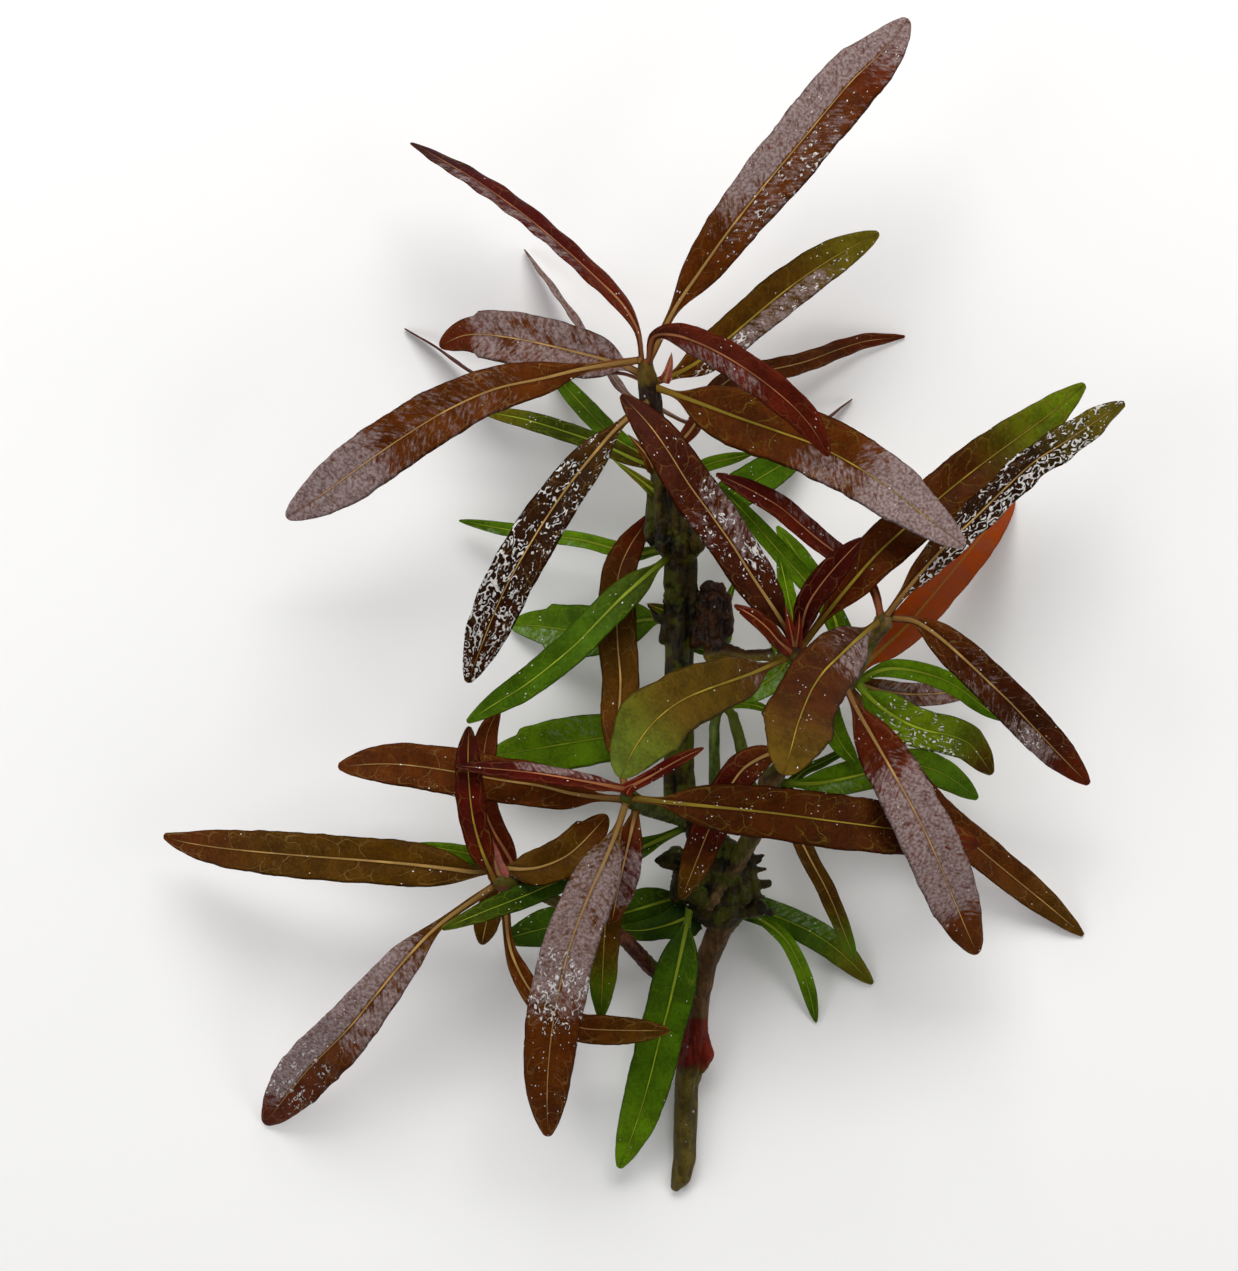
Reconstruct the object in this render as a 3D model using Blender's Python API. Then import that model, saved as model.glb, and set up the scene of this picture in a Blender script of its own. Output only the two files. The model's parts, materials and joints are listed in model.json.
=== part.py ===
"""A leafy cutting of hygrophila, laid on its back: a forked stem and its long narrow leaves.

Every point is given in millimetres as (right, up, height): right and up are read on the plane
of view through the stem, and height is above the surface that the plant lies on. The plant is
seen from VIEW_DISTANCE above that plane, so a point that stands higher is drawn in toward the
middle of the view by the function real_place.
"""
import math

import bmesh
import bpy
from mathutils import Quaternion, Vector
from mathutils.bvhtree import BVHTree

MM = 0.001
VIEW_DISTANCE = 600.0
VIEW_PLANE_HEIGHT = 28.0
VIEW_CENTRE = (-4.7, -5.3)
BOX_CENTRE = (-1.4, -2.4)

PETIOLE_WIDTH = 1.3
PETIOLE_THICKNESS = 1.1
BLADE_THICKNESS = 0.8
TIP_THICKNESS = 0.5
BLADE_FOLD = 0.16
FIRST_RING = 0.5
FOOT_GAP = 0.35
SHORT_BLADE = 24.0
CURVE_STEPS = 12

# Share of the blade's length, and share of its full width there.
LONG_OUTLINE = [(0.08, 0.0), (0.17, 0.42), (0.28, 0.74), (0.40, 0.93), (0.52, 1.0),
                (0.64, 0.97), (0.76, 0.84), (0.86, 0.64), (0.95, 0.36)]
SHORT_OUTLINE = [(0.15, 0.25), (0.35, 0.8), (0.55, 1.0), (0.75, 0.82), (0.91, 0.45)]

STEM_SIDES = 8
STUB_SIDES = 6

COLOURS = {
    "leaf_bronze": (0.085, 0.030, 0.010),
    "leaf_purple": (0.055, 0.010, 0.010),
    "leaf_olive": (0.090, 0.065, 0.012),
    "leaf_green": (0.060, 0.120, 0.012),
    "leaf_orange": (0.200, 0.055, 0.012),
    "stem_brown": (0.030, 0.022, 0.012),
    "stem_green": (0.050, 0.060, 0.020),
}


class Blade:
    """One leaf from its foot on the stem to its tip.

    A roll above zero, in degrees, turns the right edge away from the viewer. A lean below one
    moves the widest place toward the tip.
    """

    def __init__(self, width, path, roll=0.0, lean=1.0):
        self.width = width
        self.path = path
        self.roll = roll
        self.lean = lean


LEAVES = {
    "top_up_right": ("leaf_bronze", Blade(10.5, [
        (1.0, 45.0, 29.4), (3.6, 50.6, 30.8), (8.6, 58.4, 33.6), (17.2, 70.4, 38),
        (28.9, 84.6, 39), (36.8, 94.1, 37.4), (43.5, 100.6, 35), (47.3, 105.8, 33.5)],
        roll=4, lean=0.82)),
    "top_up_left": ("leaf_purple", Blade(6.0, [
        (-0.9, 45.2, 30.6), (-1.2, 49.0, 31.5), (-3.5, 53.5, 32), (-10, 60.1, 32),
        (-20, 68.9, 30), (-30, 76.2, 26), (-39, 81.6, 20), (-42.2, 83.4, 18)], roll=48)),
    "top_left_upper": ("leaf_bronze", Blade(9.8, [
        (-1.9, 42.2, 28.0), (-5, 43.7, 27), (-12, 45.6, 25), (-20, 47.5, 23),
        (-27, 48.7, 21), (-31.5, 48.9, 19.4), (-34.5, 48.0, 17.6), (-37, 46.7, 16)])),
    "top_left_long": ("leaf_bronze", Blade(9.9, [
        (-2.0, 44.4, 32.0), (-7.5, 43.7, 33.6), (-14.2, 41.8, 36), (-21.9, 40.3, 38.5),
        (-30, 38.1, 40.4), (-38, 33.9, 40.4), (-45.6, 29.1, 38.6), (-52, 24.6, 35.8),
        (-57.4, 20.6, 32.6), (-64.6, 15.9, 28)], roll=-6, lean=0.78)),
    "top_left_edge_on": ("leaf_purple", Blade(5.5, [
        (-1.9, 41.2, 25.6), (-5, 42.2, 24.4), (-12, 41.8, 21), (-20, 40.2, 16),
        (-26, 40.0, 11), (-31.5, 42.1, 7), (-37, 46.2, 3.4), (-43.3, 50, 0.6)], roll=86)),
    "top_down_left": ("leaf_bronze", Blade(8.5, [
        (-1.4, 36.0, 32.8), (-4.4, 32.8, 35.4), (-10.4, 26.0, 39.4), (-16, 18.6, 42),
        (-22, 9, 43), (-26, 1.5, 42), (-29, -6, 39), (-32, -13.8, 35)], roll=-4, lean=0.82)),
    "top_arching_right": ("leaf_purple", Blade(6.8, [
        (0.1, 45.2, 32.8), (0.9, 47.7, 34.4), (3.6, 49.1, 37.4), (10, 47.3, 43.4),
        (16, 44.1, 48), (22, 40.0, 50.4), (28, 34.7, 50.4), (31.2, 30.4, 49.4),
        (33, 26.9, 48)], roll=34, lean=0.86)),
    "top_right_long": ("leaf_bronze", Blade(11.3, [
        (3.0, 39.3, 31.6), (8, 37.2, 34), (16, 34.2, 38), (24, 31.4, 41), (33.5, 27.7, 44),
        (44, 21.2, 46.4), (52, 14.9, 46.6), (57.6, 10.8, 46)], lean=1.05)),
    "top_right_upper": ("leaf_olive", Blade(7.7, [
        (3.0, 40.8, 27.0), (6, 42.0, 27), (11, 45, 27.5), (18, 50.8, 28), (26, 57.4, 27),
        (34, 62.8, 25), (42.1, 67.2, 22)], roll=4)),
    "inner_up_left": ("leaf_bronze", Blade(8.3, [
        (26.4, -5.4, 37.4), (24.4, -2.4, 40.2), (20, 4.2, 43.4), (16, 10.5, 45.8),
        (12, 16.2, 47), (8, 21.7, 47.5), (2, 31, 46.5), (-4.3, 38.1, 44)], roll=8)),
    "inner_dark": ("leaf_purple", Blade(5.2, [
        (28.0, -5.4, 37.8), (28.9, -1, 40.7), (30.2, 2, 42.3), (33, 5.5, 43.8), (36, 9, 44.8),
        (39.2, 12.2, 44.8)])),
    "inner_up_right": ("leaf_olive", Blade(9.0, [
        (28.9, -6.8, 35.2), (31.0, -3.6, 36.4), (34.2, 0.6, 37.6), (41.4, 9.0, 38.2),
        (47, 14.2, 37), (54, 20.3, 34.5), (62, 26.6, 32), (72, 33.9, 29), (79.2, 40, 27)],
        lean=0.95)),
    "inner_front_left": ("leaf_olive", Blade(10.3, [
        (25.2, -9.8, 36.4), (21.8, -11.0, 41), (18.2, -12.5, 46.4), (11.1, -15.0, 56),
        (5.9, -17.4, 63), (1.1, -21.4, 70), (-2.6, -26.8, 75.6), (-4.4, -31, 78)],
        roll=4, lean=0.86)),
    "inner_small_red": ("leaf_purple", Blade(3.0, [
        (25.6, -8.4, 38.8), (23.9, -6.2, 42.2), (20.8, -2.8, 44.8), (16, 0.2, 46.5)], roll=10)),
    "outer_up_left": ("leaf_purple", Blade(4.4, [
        (42.2, -0.4, 36.2), (41.3, 2.7, 35.2), (37, 7.4, 34), (30.1, 12.8, 33),
        (24.4, 17.7, 33.4), (18.3, 21.2, 34), (12.7, 23.8, 34)], roll=12, lean=0.9)),
    "outer_up_right": ("leaf_bronze", Blade(6.4, [
        (44.3, -0.9, 37.2), (47.3, 3.2, 38.6), (53.2, 10.0, 39.6), (61.1, 17.6, 38.8),
        (69.5, 25.6, 37.2), (77.8, 31.0, 35), (83.0, 34.7, 32.8), (86.4, 36.5, 31)], roll=18)),
    "outer_down_right": ("leaf_bronze", Blade(7.2, [
        (45.0, -2.2, 36.0), (49, -2.9, 38), (54, -6.4, 39.4), (60, -11.9, 39), (66, -17.6, 36.5),
        (72, -24, 31.5), (76.5, -28.7, 27), (79.9, -32.1, 24)], roll=12)),
    "outer_front_down": ("leaf_olive", Blade(10.9, [
        (41.6, -2.9, 38.6), (39.3, -5.0, 42.4), (36, -8.0, 48.4), (31.2, -13.0, 58),
        (28.1, -19.4, 68), (26.5, -24.8, 75), (24.9, -30.4, 80)], lean=0.95)),
    "low_orange_back": ("leaf_orange", Blade(7.4, [
        (39.3, -10.4, 25.2), (42.0, -8.4, 23.8), (46.5, -4.2, 21.4), (52, 2.2, 17.4),
        (57.5, 8.8, 12.5), (62, 14.3, 6.6), (66.4, 19.2, 0.7)], roll=168)),
    "low_far_right": ("leaf_bronze", Blade(6.4, [
        (38.2, -15.4, 26.8), (41, -20, 25.6), (44.5, -26, 23.2), (48, -31.5, 20.3),
        (53, -37.5, 16.3), (60, -43.6, 11.4), (66, -48.6, 7.3), (73, -54.3, 3.3),
        (78.9, -59.3, 0.5)], lean=0.9)),
    "low_down": ("leaf_bronze", Blade(10.2, [
        (35.6, -13.6, 33.0), (37, -16.4, 33.6), (39.6, -21.2, 34.6), (43.3, -27.6, 35.4),
        (49.4, -38.6, 34.8), (53.4, -47.4, 31.6), (55.4, -52.4, 29), (57.3, -57, 26),
        (59.8, -62.7, 21)], lean=0.95)),
    "low_folded_tip": ("leaf_green", Blade(7.3, [
        (38.8, -14.6, 30.4), (40.6, -16.6, 30.2), (44, -19.3, 29.8), (48.9, -21.9, 29),
        (53.1, -22.9, 27.6), (56.4, -23.7, 26), (59.0, -25.5, 24), (62.5, -30.3, 21)],
        lean=1.15)),
    "low_green_narrow": ("leaf_green", Blade(3.7, [
        (39.2, -13.2, 29.4), (41.4, -11.9, 29.8), (44.8, -11.2, 29.8), (49.0, -11.8, 29.6),
        (53.1, -13.0, 28.8), (57, -15.1, 27.6), (60.4, -17.8, 26), (64.5, -20.6, 24)])),
    "branch_green_arch": ("leaf_green", Blade(6.4, [
        (26.4, -32.4, 19.4), (30, -32.0, 19.4), (36, -31, 18.6), (42, -29.6, 17),
        (48, -28.6, 14.8), (54, -30.4, 12), (59.9, -34.7, 9)])),
    "branch_down_left": ("leaf_bronze", Blade(6.6, [
        (25.6, -25.6, 25.6), (22.4, -26.6, 27.4), (18, -29, 29), (15, -33, 29.6),
        (12, -39, 29.4), (9.2, -46, 28), (6.5, -52.8, 26)])),
    "centre_up": ("leaf_orange", Blade(7.1, [
        (-3.6, -31.6, 27.6), (-4.5, -26.4, 26.8), (-4.7, -20, 25.6), (-4.4, -14.6, 25),
        (-4.8, -9.2, 24.6), (-5.1, -3.8, 24), (-5.1, 1.4, 23), (-4.6, 6.6, 21.8),
        (-2.8, 10.7, 20.6), (1.2, 16.6, 18.8)], roll=6, lean=1.05)),
    "centre_left": ("leaf_bronze", Blade(8.6, [
        (-4.9, -34.8, 28.6), (-12, -34, 29.6), (-18, -32.5, 30), (-28, -31, 29.8),
        (-36, -29.5, 28.6), (-46, -28.4, 25.5), (-55.3, -28.9, 21)])),
    "centre_right_long": ("leaf_bronze", Blade(9.9, [
        (-0.8, -34.6, 31.8), (4, -35.3, 33.8), (12, -36.1, 36), (20, -36.9, 37),
        (28, -37.9, 36.5), (36, -39, 34.0), (44, -40.0, 30.4), (52, -41.2, 26.4),
        (60.2, -42.9, 22)])),
    "centre_down_long": ("leaf_bronze", Blade(9.9, [
        (-3.6, -36.6, 31.2), (-6, -43, 35), (-8.6, -48.6, 37.5), (-12.5, -58, 38.6),
        (-14.8, -66, 37), (-16.7, -76, 34), (-17.6, -86, 29), (-17.5, -95.5, 22)])),
    "centre_down_short": ("leaf_bronze", Blade(6.6, [
        (-1.8, -37.0, 27.6), (-2.8, -42, 28.4), (-4.4, -49, 28.8), (-6.0, -57, 27.4)],
        roll=6)),
    "centre_down_back": ("leaf_green", Blade(5.8, [
        (-3.4, -38.2, 24.6), (-5, -45, 24.4), (-6.7, -53, 23.6), (-7.4, -61, 22.4),
        (-7.7, -68, 20.6), (-8.0, -74.4, 18)])),
    "left_down_long": ("leaf_bronze", Blade(10.0, [
        (-27.9, -51.2, 28.0), (-32, -53.4, 30), (-37.3, -57.6, 31), (-44.5, -65.1, 30),
        (-52.8, -75.4, 24.8), (-60.2, -82.9, 14.8), (-64.9, -88.6, 7.2), (-68.5, -93.3, 0.6)],
        lean=0.74)),
    "left_curled": ("leaf_olive", Blade(5.3, [
        (-25.4, -51.9, 25.2), (-24.9, -58.6, 24.6), (-23.1, -64.8, 24), (-20.1, -69.9, 23.6),
        (-16.5, -73.4, 23.2), (-11.9, -75.8, 22.8), (-6.6, -76.3, 22.4), (-1.3, -76.4, 22),
        (4.5, -76.4, 21.6)], lean=0.66)),
    "left_up_dark": ("leaf_purple", Blade(5.2, [
        (-27.2, -48.6, 29.9), (-29.2, -44.6, 31.6), (-30.7, -39.7, 33), (-31.5, -34.6, 34.2),
        (-31.9, -28, 34.6), (-31.7, -21.6, 33.8)], roll=8)),
    "knot_green_left": ("leaf_green", Blade(4.6, [
        (4.4, -42.0, 15.4), (0, -43.2, 18.2), (-6, -45.8, 21), (-14, -48.9, 24),
        (-18.4, -50.6, 25.2), (-22, -52.3, 27.8), (-26, -53.8, 31), (-31, -55.8, 33.2),
        (-36.6, -58.2, 34.4)])),
    "knot_down_green": ("leaf_green", Blade(8.4, [
        (7.7, -55.2, 14.6), (7.2, -59, 16.2), (6.1, -64, 17), (4.4, -71.5, 16.6),
        (2.5, -78.4, 15.2), (1.2, -83.7, 13.4), (-0.2, -88.8, 11.6), (-2.1, -94.6, 8.8),
        (-4.7, -101.2, 5.4)], lean=1.1)),
    "knot_down_narrow": ("leaf_green", Blade(3.0, [
        (20.4, -55.2, 10.4), (24, -58.6, 9.8), (26.4, -61.7, 8.2), (28, -64.9, 6),
        (29.4, -68.9, 3.6), (30.8, -75, 0.6)], roll=15, lean=0.9)),
    "stem_green_diagonal": ("leaf_green", Blade(6.1, [
        (3.2, 7.6, 26.2), (0, 5.3, 27.8), (-5.5, 0.3, 29.4), (-10, -4.4, 30.4),
        (-13.7, -8.0, 31), (-21.1, -13.9, 30.8), (-27, -17.6, 30), (-32.1, -20.9, 29)],
        roll=12, lean=1.1)),
}

# Two leaves that face each other across one joint of the stem, made as one piece.
PAIRS = {
    "top_pair_behind": ("leaf_purple",
        Blade(6.0, [(0.6, 37.0, 24.3), (-3, 37.8, 21.4), (-6.4, 41.8, 17), (-10.4, 47.8, 12.4),
                    (-15.2, 54.9, 7.4), (-21.7, 64.2, 0.9)], roll=74),
        Blade(4.0, [(0.6, 37.0, 24.3), (6, 33.8, 18), (11, 32, 12.4), (20, 31, 8.5),
                    (30, 32.3, 4.8), (37.3, 37.3, 0.6)], roll=-80)),
    "stem_pair_low": ("leaf_purple",
        Blade(4.8, [(2.2, 27.4, 21.0), (7.5, 30.6, 19.8), (11, 37, 17.6), (16.5, 41.6, 15),
                    (26, 43.2, 10.5), (34, 46.0, 6.2), (40, 47.8, 3.0), (46.8, 48.5, 0.6)],
              roll=38),
        Blade(3.9, [(2.2, 27.4, 21.0), (-3.5, 28.8, 18.6), (-8.4, 33.2, 12.6),
                    (-12.6, 37.6, 6.8), (-17.5, 43, 0.8)])),
    "stem_pair_olive": ("leaf_olive",
        Blade(3.6, [(2.6, 24.8, 23.2), (-1.6, 26.2, 23.4), (-5.4, 28.1, 23), (-11.6, 30.5, 22),
                    (-16, 31.9, 21), (-22, 33.7, 19), (-29.8, 35.1, 16)]),
        Blade(2.6, [(2.6, 24.8, 23.2), (8, 24.4, 23.4), (12.6, 25.9, 24.4), (19.3, 27.4, 24.6)])),
    "joint_pair_green": ("leaf_green",
        Blade(2.9, [(4.0, 10.2, 17.6), (-1.6, 9.4, 16), (-6.5, 10.6, 14.6),
                    (-12, 12.0, 13), (-22, 13.3, 9.4), (-33.5, 15.4, 4)]),
        Blade(7.0, [(4.0, 10.2, 17.6), (8.5, 13.2, 17), (15, 19.4, 13.4), (21.5, 23.6, 9),
                    (29, 28, 4)])),
    "inner_pair": ("leaf_green",
        Blade(3.0, [(26.9, -7.7, 31.4), (27.4, -5, 32.8), (26.3, -1, 35.2), (25.4, 3.6, 37),
                    (24, 9.4, 38)]),
        Blade(5.0, [(26.9, -7.7, 31.4), (24.4, -11.6, 31), (20.6, -14.4, 29.2),
                    (16.4, -17, 27)])),
    "low_pair_green": ("leaf_green",
        Blade(3.6, [(33.6, -12.8, 26.2), (34.9, -7, 26.6), (34.3, -2.4, 26.8),
                    (30.4, 2.8, 26.4), (24, 10, 25.6), (18.5, 16.2, 24.8), (13.4, 21.6, 24)]),
        Blade(4.2, [(33.6, -12.8, 26.2), (33.2, -18.2, 23.8), (34.6, -23.6, 22),
                    (38.2, -28.6, 20.4)])),
    "low_pair_back": ("leaf_green",
        Blade(4.4, [(36.5, -13.0, 26.6), (36.4, -8, 23.4), (34.2, -2.4, 20.4), (31, 3.6, 17),
                    (27.4, 9.2, 12.6), (23.7, 14.4, 8)]),
        Blade(4.4, [(36.5, -13.0, 26.6), (41, -14.8, 24.4), (46.5, -15.8, 20.4),
                    (53, -15.7, 15), (61, -14.4, 9)])),
    "joint_pair_broad": ("leaf_green",
        Blade(9.6, [(4.6, -2.6, 17.8), (0.4, -2.4, 16.4), (-4, -3.4, 13.8), (-8, -4.3, 11),
                    (-12, -4.5, 8.2), (-16, -4.0, 5.6), (-20, -3.5, 3.4), (-24.4, -3.3, 1.2)]),
        Blade(2.0, [(4.6, -2.6, 17.8), (10, -7.8, 17.0), (14.4, -6.4, 18.2),
                    (14.6, 0, 19.4), (16.6, 5.4, 20)], roll=30)),
    "stem_pair_wide": ("leaf_green",
        Blade(9.6, [(4.6, -22.0, 14.6), (-2, -23.0, 15.4), (-9, -23.9, 15), (-18, -25.4, 12.6),
                    (-28.5, -27.2, 8.6)]),
        Blade(1.9, [(4.6, -22.0, 14.6), (10, -20.4, 15.4), (15.6, -17.6, 17.4),
                    (20, -17.9, 18.4), (25, -20.2, 18)])),
    "centre_pair_dark": ("leaf_purple",
        Blade(4.0, [(-3.4, -33.0, 32.2), (-12, -31.4, 33.6), (-20, -30.1, 35),
                    (-28, -29.3, 36.6), (-34.1, -28.8, 37)], roll=40),
        Blade(2.4, [(-3.4, -33.0, 32.2), (1, -30.6, 33.6), (6, -27.7, 34.8),
                    (10.6, -25.5, 35)])),
    "branch_pair": ("leaf_green",
        Blade(2.2, [(25.2, -33.0, 17.8), (28.4, -29.8, 17.4), (32.4, -27.8, 16.4),
                    (37.5, -25.3, 14)], roll=30),
        Blade(3.9, [(25.2, -33.0, 17.8), (26.2, -37.6, 20), (28.8, -43.6, 22.6),
                    (32.9, -51.4, 22.2), (35.6, -58, 19.8), (38, -64.3, 17)], roll=30)),
    "left_pair_long": ("leaf_bronze",
        Blade(8.4, [(-26.2, -47.0, 26.9), (-31, -47.9, 28), (-38, -46.9, 28.8),
                    (-50, -45.8, 28), (-62, -44.9, 25), (-74, -43.8, 19.4),
                    (-82.5, -42.6, 14), (-86.7, -41.3, 12)], lean=1.1),
        Blade(7.6, [(-26.2, -47.0, 26.9), (-20, -47.2, 29.2), (-14.2, -45.0, 28.8),
                    (-10, -41.2, 26.6), (-6.8, -37.6, 23.6)], lean=0.95)),
    "left_pair_olive": ("leaf_olive",
        Blade(5.0, [(-24.4, -49.2, 23.4), (-24.0, -46.2, 23.6), (-26.1, -42.6, 24.6),
                    (-28.2, -38.6, 25.4), (-29.3, -33.6, 26), (-29.1, -27.4, 25.6),
                    (-28.2, -22.4, 24.8), (-26.2, -18.2, 24)]),
        Blade(5.0, [(-24.4, -49.2, 23.4), (-27.4, -53.4, 21.8), (-28.6, -57.2, 20.6),
                    (-29.4, -61, 19)])),
    "knot_pair_wide": ("leaf_green",
        Blade(8.2, [(8.0, -51.6, 7.2), (2.4, -53.4, 9.6), (-5, -55.6, 10.6),
                    (-12, -57.0, 9), (-18, -58, 6.8), (-25.5, -60, 4)]),
        Blade(5.6, [(8.0, -51.6, 7.2), (16, -53.4, 6.4), (22.4, -55.4, 7.4),
                    (28, -57.7, 6.6), (34, -61.4, 4), (41, -68, 0.6)])),
}

# Each stem: rings of (right, up, height, half width, half height) from its lower end.
STEMS = {
    "stem_lower": ("stem_brown", [
        (5.2, -105.0, 1.2, 0.7, 0.6), (6.4, -103.0, 2.0, 1.9, 1.7), (7.1, -99.4, 2.3, 2.2, 2.1),
        (7.3, -92, 2.8, 2.25, 2.2), (7.5, -86, 3.6, 2.3, 2.2), (8.4, -81.4, 4.6, 3.0, 2.6),
        (9.0, -77, 5.4, 2.5, 2.3), (9.5, -71.6, 6.6, 2.1, 2.05), (11, -64, 8.8, 2.15, 2.1),
        (13.4, -58.2, 10.8, 2.4, 2.3), (13.6, -55.6, 11.8, 5.2, 3.2),
        (12.8, -51.6, 12.6, 7.2, 4.2), (12.4, -47.4, 13.2, 7.0, 4.5), (12.0, -44.2, 13.6, 5.6, 3.8),
        (10.9, -41.9, 14.2, 3.2, 2.4)]),
    "stem_middle": ("stem_brown", [
        (10.0, -40.2, 14.9, 2.4, 2.0), (8.9, -38.0, 15.8, 3.2, 2.8), (6.8, -33, 17, 2.5, 2.4),
        (5.9, -24, 18.4, 2.4, 2.3), (6.0, -14, 20, 2.6, 2.5), (6.3, -4, 21.6, 2.8, 2.6),
        (6.4, 1.6, 22.4, 2.9, 2.7), (6.3, 5.0, 22.9, 2.4, 2.3), (6.2, 6.5, 23.1, 1.5, 1.5)]),
    "stem_upper": ("stem_brown", [
        (6.1, 8.1, 23.6, 2.3, 2.0), (6.2, 10.2, 24, 4.3, 3.6), (5.8, 13, 24.6, 5.0, 4.3),
        (5.1, 16.6, 25.2, 4.7, 3.9), (4.0, 20, 25.8, 3.4, 2.9), (3.0, 24, 26.6, 2.1, 2.0),
        (2.4, 28, 27.4, 1.9, 1.8), (1.8, 32.6, 28.2, 1.8, 1.7), (0.9, 37.6, 29.2, 2.1, 1.9),
        (0.3, 41.4, 29.9, 1.8, 1.7), (0.0, 43.8, 30.4, 1.3, 1.2)]),
    "branch_right": ("stem_green", [
        (18.3, -43.5, 14.5, 1.1, 1.1), (19.2, -41.6, 15.4, 1.8, 1.7), (21, -36.4, 17.6, 1.7, 1.6),
        (22.8, -31.4, 20.2, 1.8, 1.7), (25.4, -27.4, 22.4, 1.6, 1.5), (30, -21.4, 25.6, 1.4, 1.4),
        (34.4, -15.8, 28.6, 1.5, 1.5), (36.7, -12.9, 30.2, 2.1, 1.9), (38.6, -9.9, 32, 1.4, 1.4),
        (41.4, -5.2, 34.6, 1.3, 1.2), (42.9, -2.9, 35.8, 1.8, 1.6), (43.4, -1.8, 36.3, 1.1, 1.1)]),
    "branch_inner": ("stem_brown", [
        (12.2, 3.4, 22, 1.2, 1.0), (12.2, 2.0, 22, 2.5, 2.2), (11.8, -2, 22.2, 2.7, 2.6),
        (12.2, -5.6, 23.4, 2.3, 2.2), (14.2, -7.8, 25.6, 1.3, 1.3), (18, -8.9, 29, 1.0, 1.0),
        (22.4, -8.8, 32.4, 1.1, 1.1), (25.4, -8.2, 34.4, 1.6, 1.6), (26.9, -7.8, 35.4, 1.8, 1.8),
        (27.8, -7.5, 35.9, 1.1, 1.1)]),
    "branch_left": ("stem_green", [
        (7.3, -69.4, 8.0, 1.0, 1.0), (5.4, -68.4, 9.2, 1.5, 1.4), (1, -65.0, 12, 1.5, 1.4),
        (-3.6, -60.0, 14.8, 1.4, 1.3), (-11, -55.4, 19.2, 1.2, 1.2), (-19, -51.8, 23.4, 1.2, 1.1),
        (-24, -50.1, 25.8, 1.5, 1.5), (-26.2, -49.6, 26.8, 1.7, 1.5), (-27.4, -49.4, 27.3, 1.0, 1.0)]),
    "branch_centre": ("stem_green", [
        (5.5, -37.7, 18.2, 1.0, 1.0), (4.2, -37.5, 19.6, 1.5, 1.5), (0, -36.4, 24.8, 1.4, 1.4),
        (-2.2, -35.0, 28.2, 1.7, 1.6), (-3.2, -34.2, 30, 1.6, 1.5), (-3.7, -33.9, 30.9, 0.9, 0.9)]),
    "shoot_thin": ("stem_green", [
        (12.7, -42.3, 18.5, 0.7, 0.7), (12.6, -38, 18.8, 1.1, 1.1), (12.5, -28, 19.8, 1.05, 1.0),
        (12.4, -22, 20.6, 1.0, 1.0), (12.9, -19.3, 21, 0.95, 0.95), (14.3, -17.9, 21.2, 0.9, 0.9),
        (15.8, -19.7, 21.2, 0.95, 0.95), (17.0, -24, 20.8, 1.1, 1.1), (18.2, -29, 20.2, 1.2, 1.1),
        (19.0, -33.4, 19.7, 0.9, 0.9)]),
}

# Stubs of dead roots and a side bud, each a lump on a stem: (foot, head, radius).
STUBS = {
    "stem_lower": [
        ((18.0, -45.8, 13.6), (21.0, -45.5, 13.8), 0.9),
        ((18.6, -50.6, 12.8), (22.8, -49.8, 12.6), 0.9),
        ((7.4, -47.4, 13.6), (2.4, -46.2, 14.6), 0.9),
        ((9.6, -82.2, 4.8), (10.6, -77.0, 5.6), 1.5),
    ],
}


def clear_scene():
    for thing in list(bpy.data.objects):
        bpy.data.objects.remove(thing)


def real_place(point):
    """The place in millimetres of a point read on the plane of view, at its own height."""
    nearness = 1.0 - (point[2] - VIEW_PLANE_HEIGHT) / VIEW_DISTANCE
    right = VIEW_CENTRE[0] + (point[0] - VIEW_CENTRE[0]) * nearness
    up = VIEW_CENTRE[1] + (point[1] - VIEW_CENTRE[1]) * nearness
    return Vector((right - BOX_CENTRE[0], up - BOX_CENTRE[1], point[2]))


def rounded_line(places):
    """A smooth line of many places through the given ones."""
    places = [2 * places[0] - places[1]] + places + [2 * places[-1] - places[-2]]
    line = []
    for index in range(1, len(places) - 2):
        before, here, there, after = places[index - 1:index + 3]
        for step in range(CURVE_STEPS):
            t = step / CURVE_STEPS
            line.append(0.5 * (2 * here + (there - before) * t
                               + (2 * before - 5 * here + 4 * there - after) * t * t
                               + (3 * here - before - 3 * there + after) * t ** 3))
    line.append(places[-2])
    return line


def length_of(line):
    return sum((line[index + 1] - line[index]).length for index in range(len(line) - 1))


def walk(line, distance):
    """The place and the direction at a distance along the line."""
    left = distance
    for index in range(len(line) - 1):
        step = line[index + 1] - line[index]
        if left <= step.length:
            return line[index] + step * (left / step.length), step.normalized()
        left -= step.length
    return line[-1], (line[-1] - line[-2]).normalized()


def facing(direction, roll):
    """The way the upper face looks: up at the viewer, then rolled about the leaf's own line."""
    up = Vector((0, 0, 1))
    face = (up - direction * up.dot(direction)).normalized()
    return Quaternion(direction, math.radians(roll)) @ face


def skin_of(solid):
    """The surface of a finished stem in millimetres, to measure from."""
    corners = [corner.co / MM for corner in solid.data.vertices]
    return BVHTree.FromPolygons(corners, [face.vertices for face in solid.data.polygons])


def nearest_skin(place, skins):
    """The nearest spot on any stem, and the way out of the stem there."""
    found = [skin.find_nearest(place) for skin in skins]
    spot, outward, _, _ = min(found, key=lambda hit: hit[3])
    return spot, outward


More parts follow.
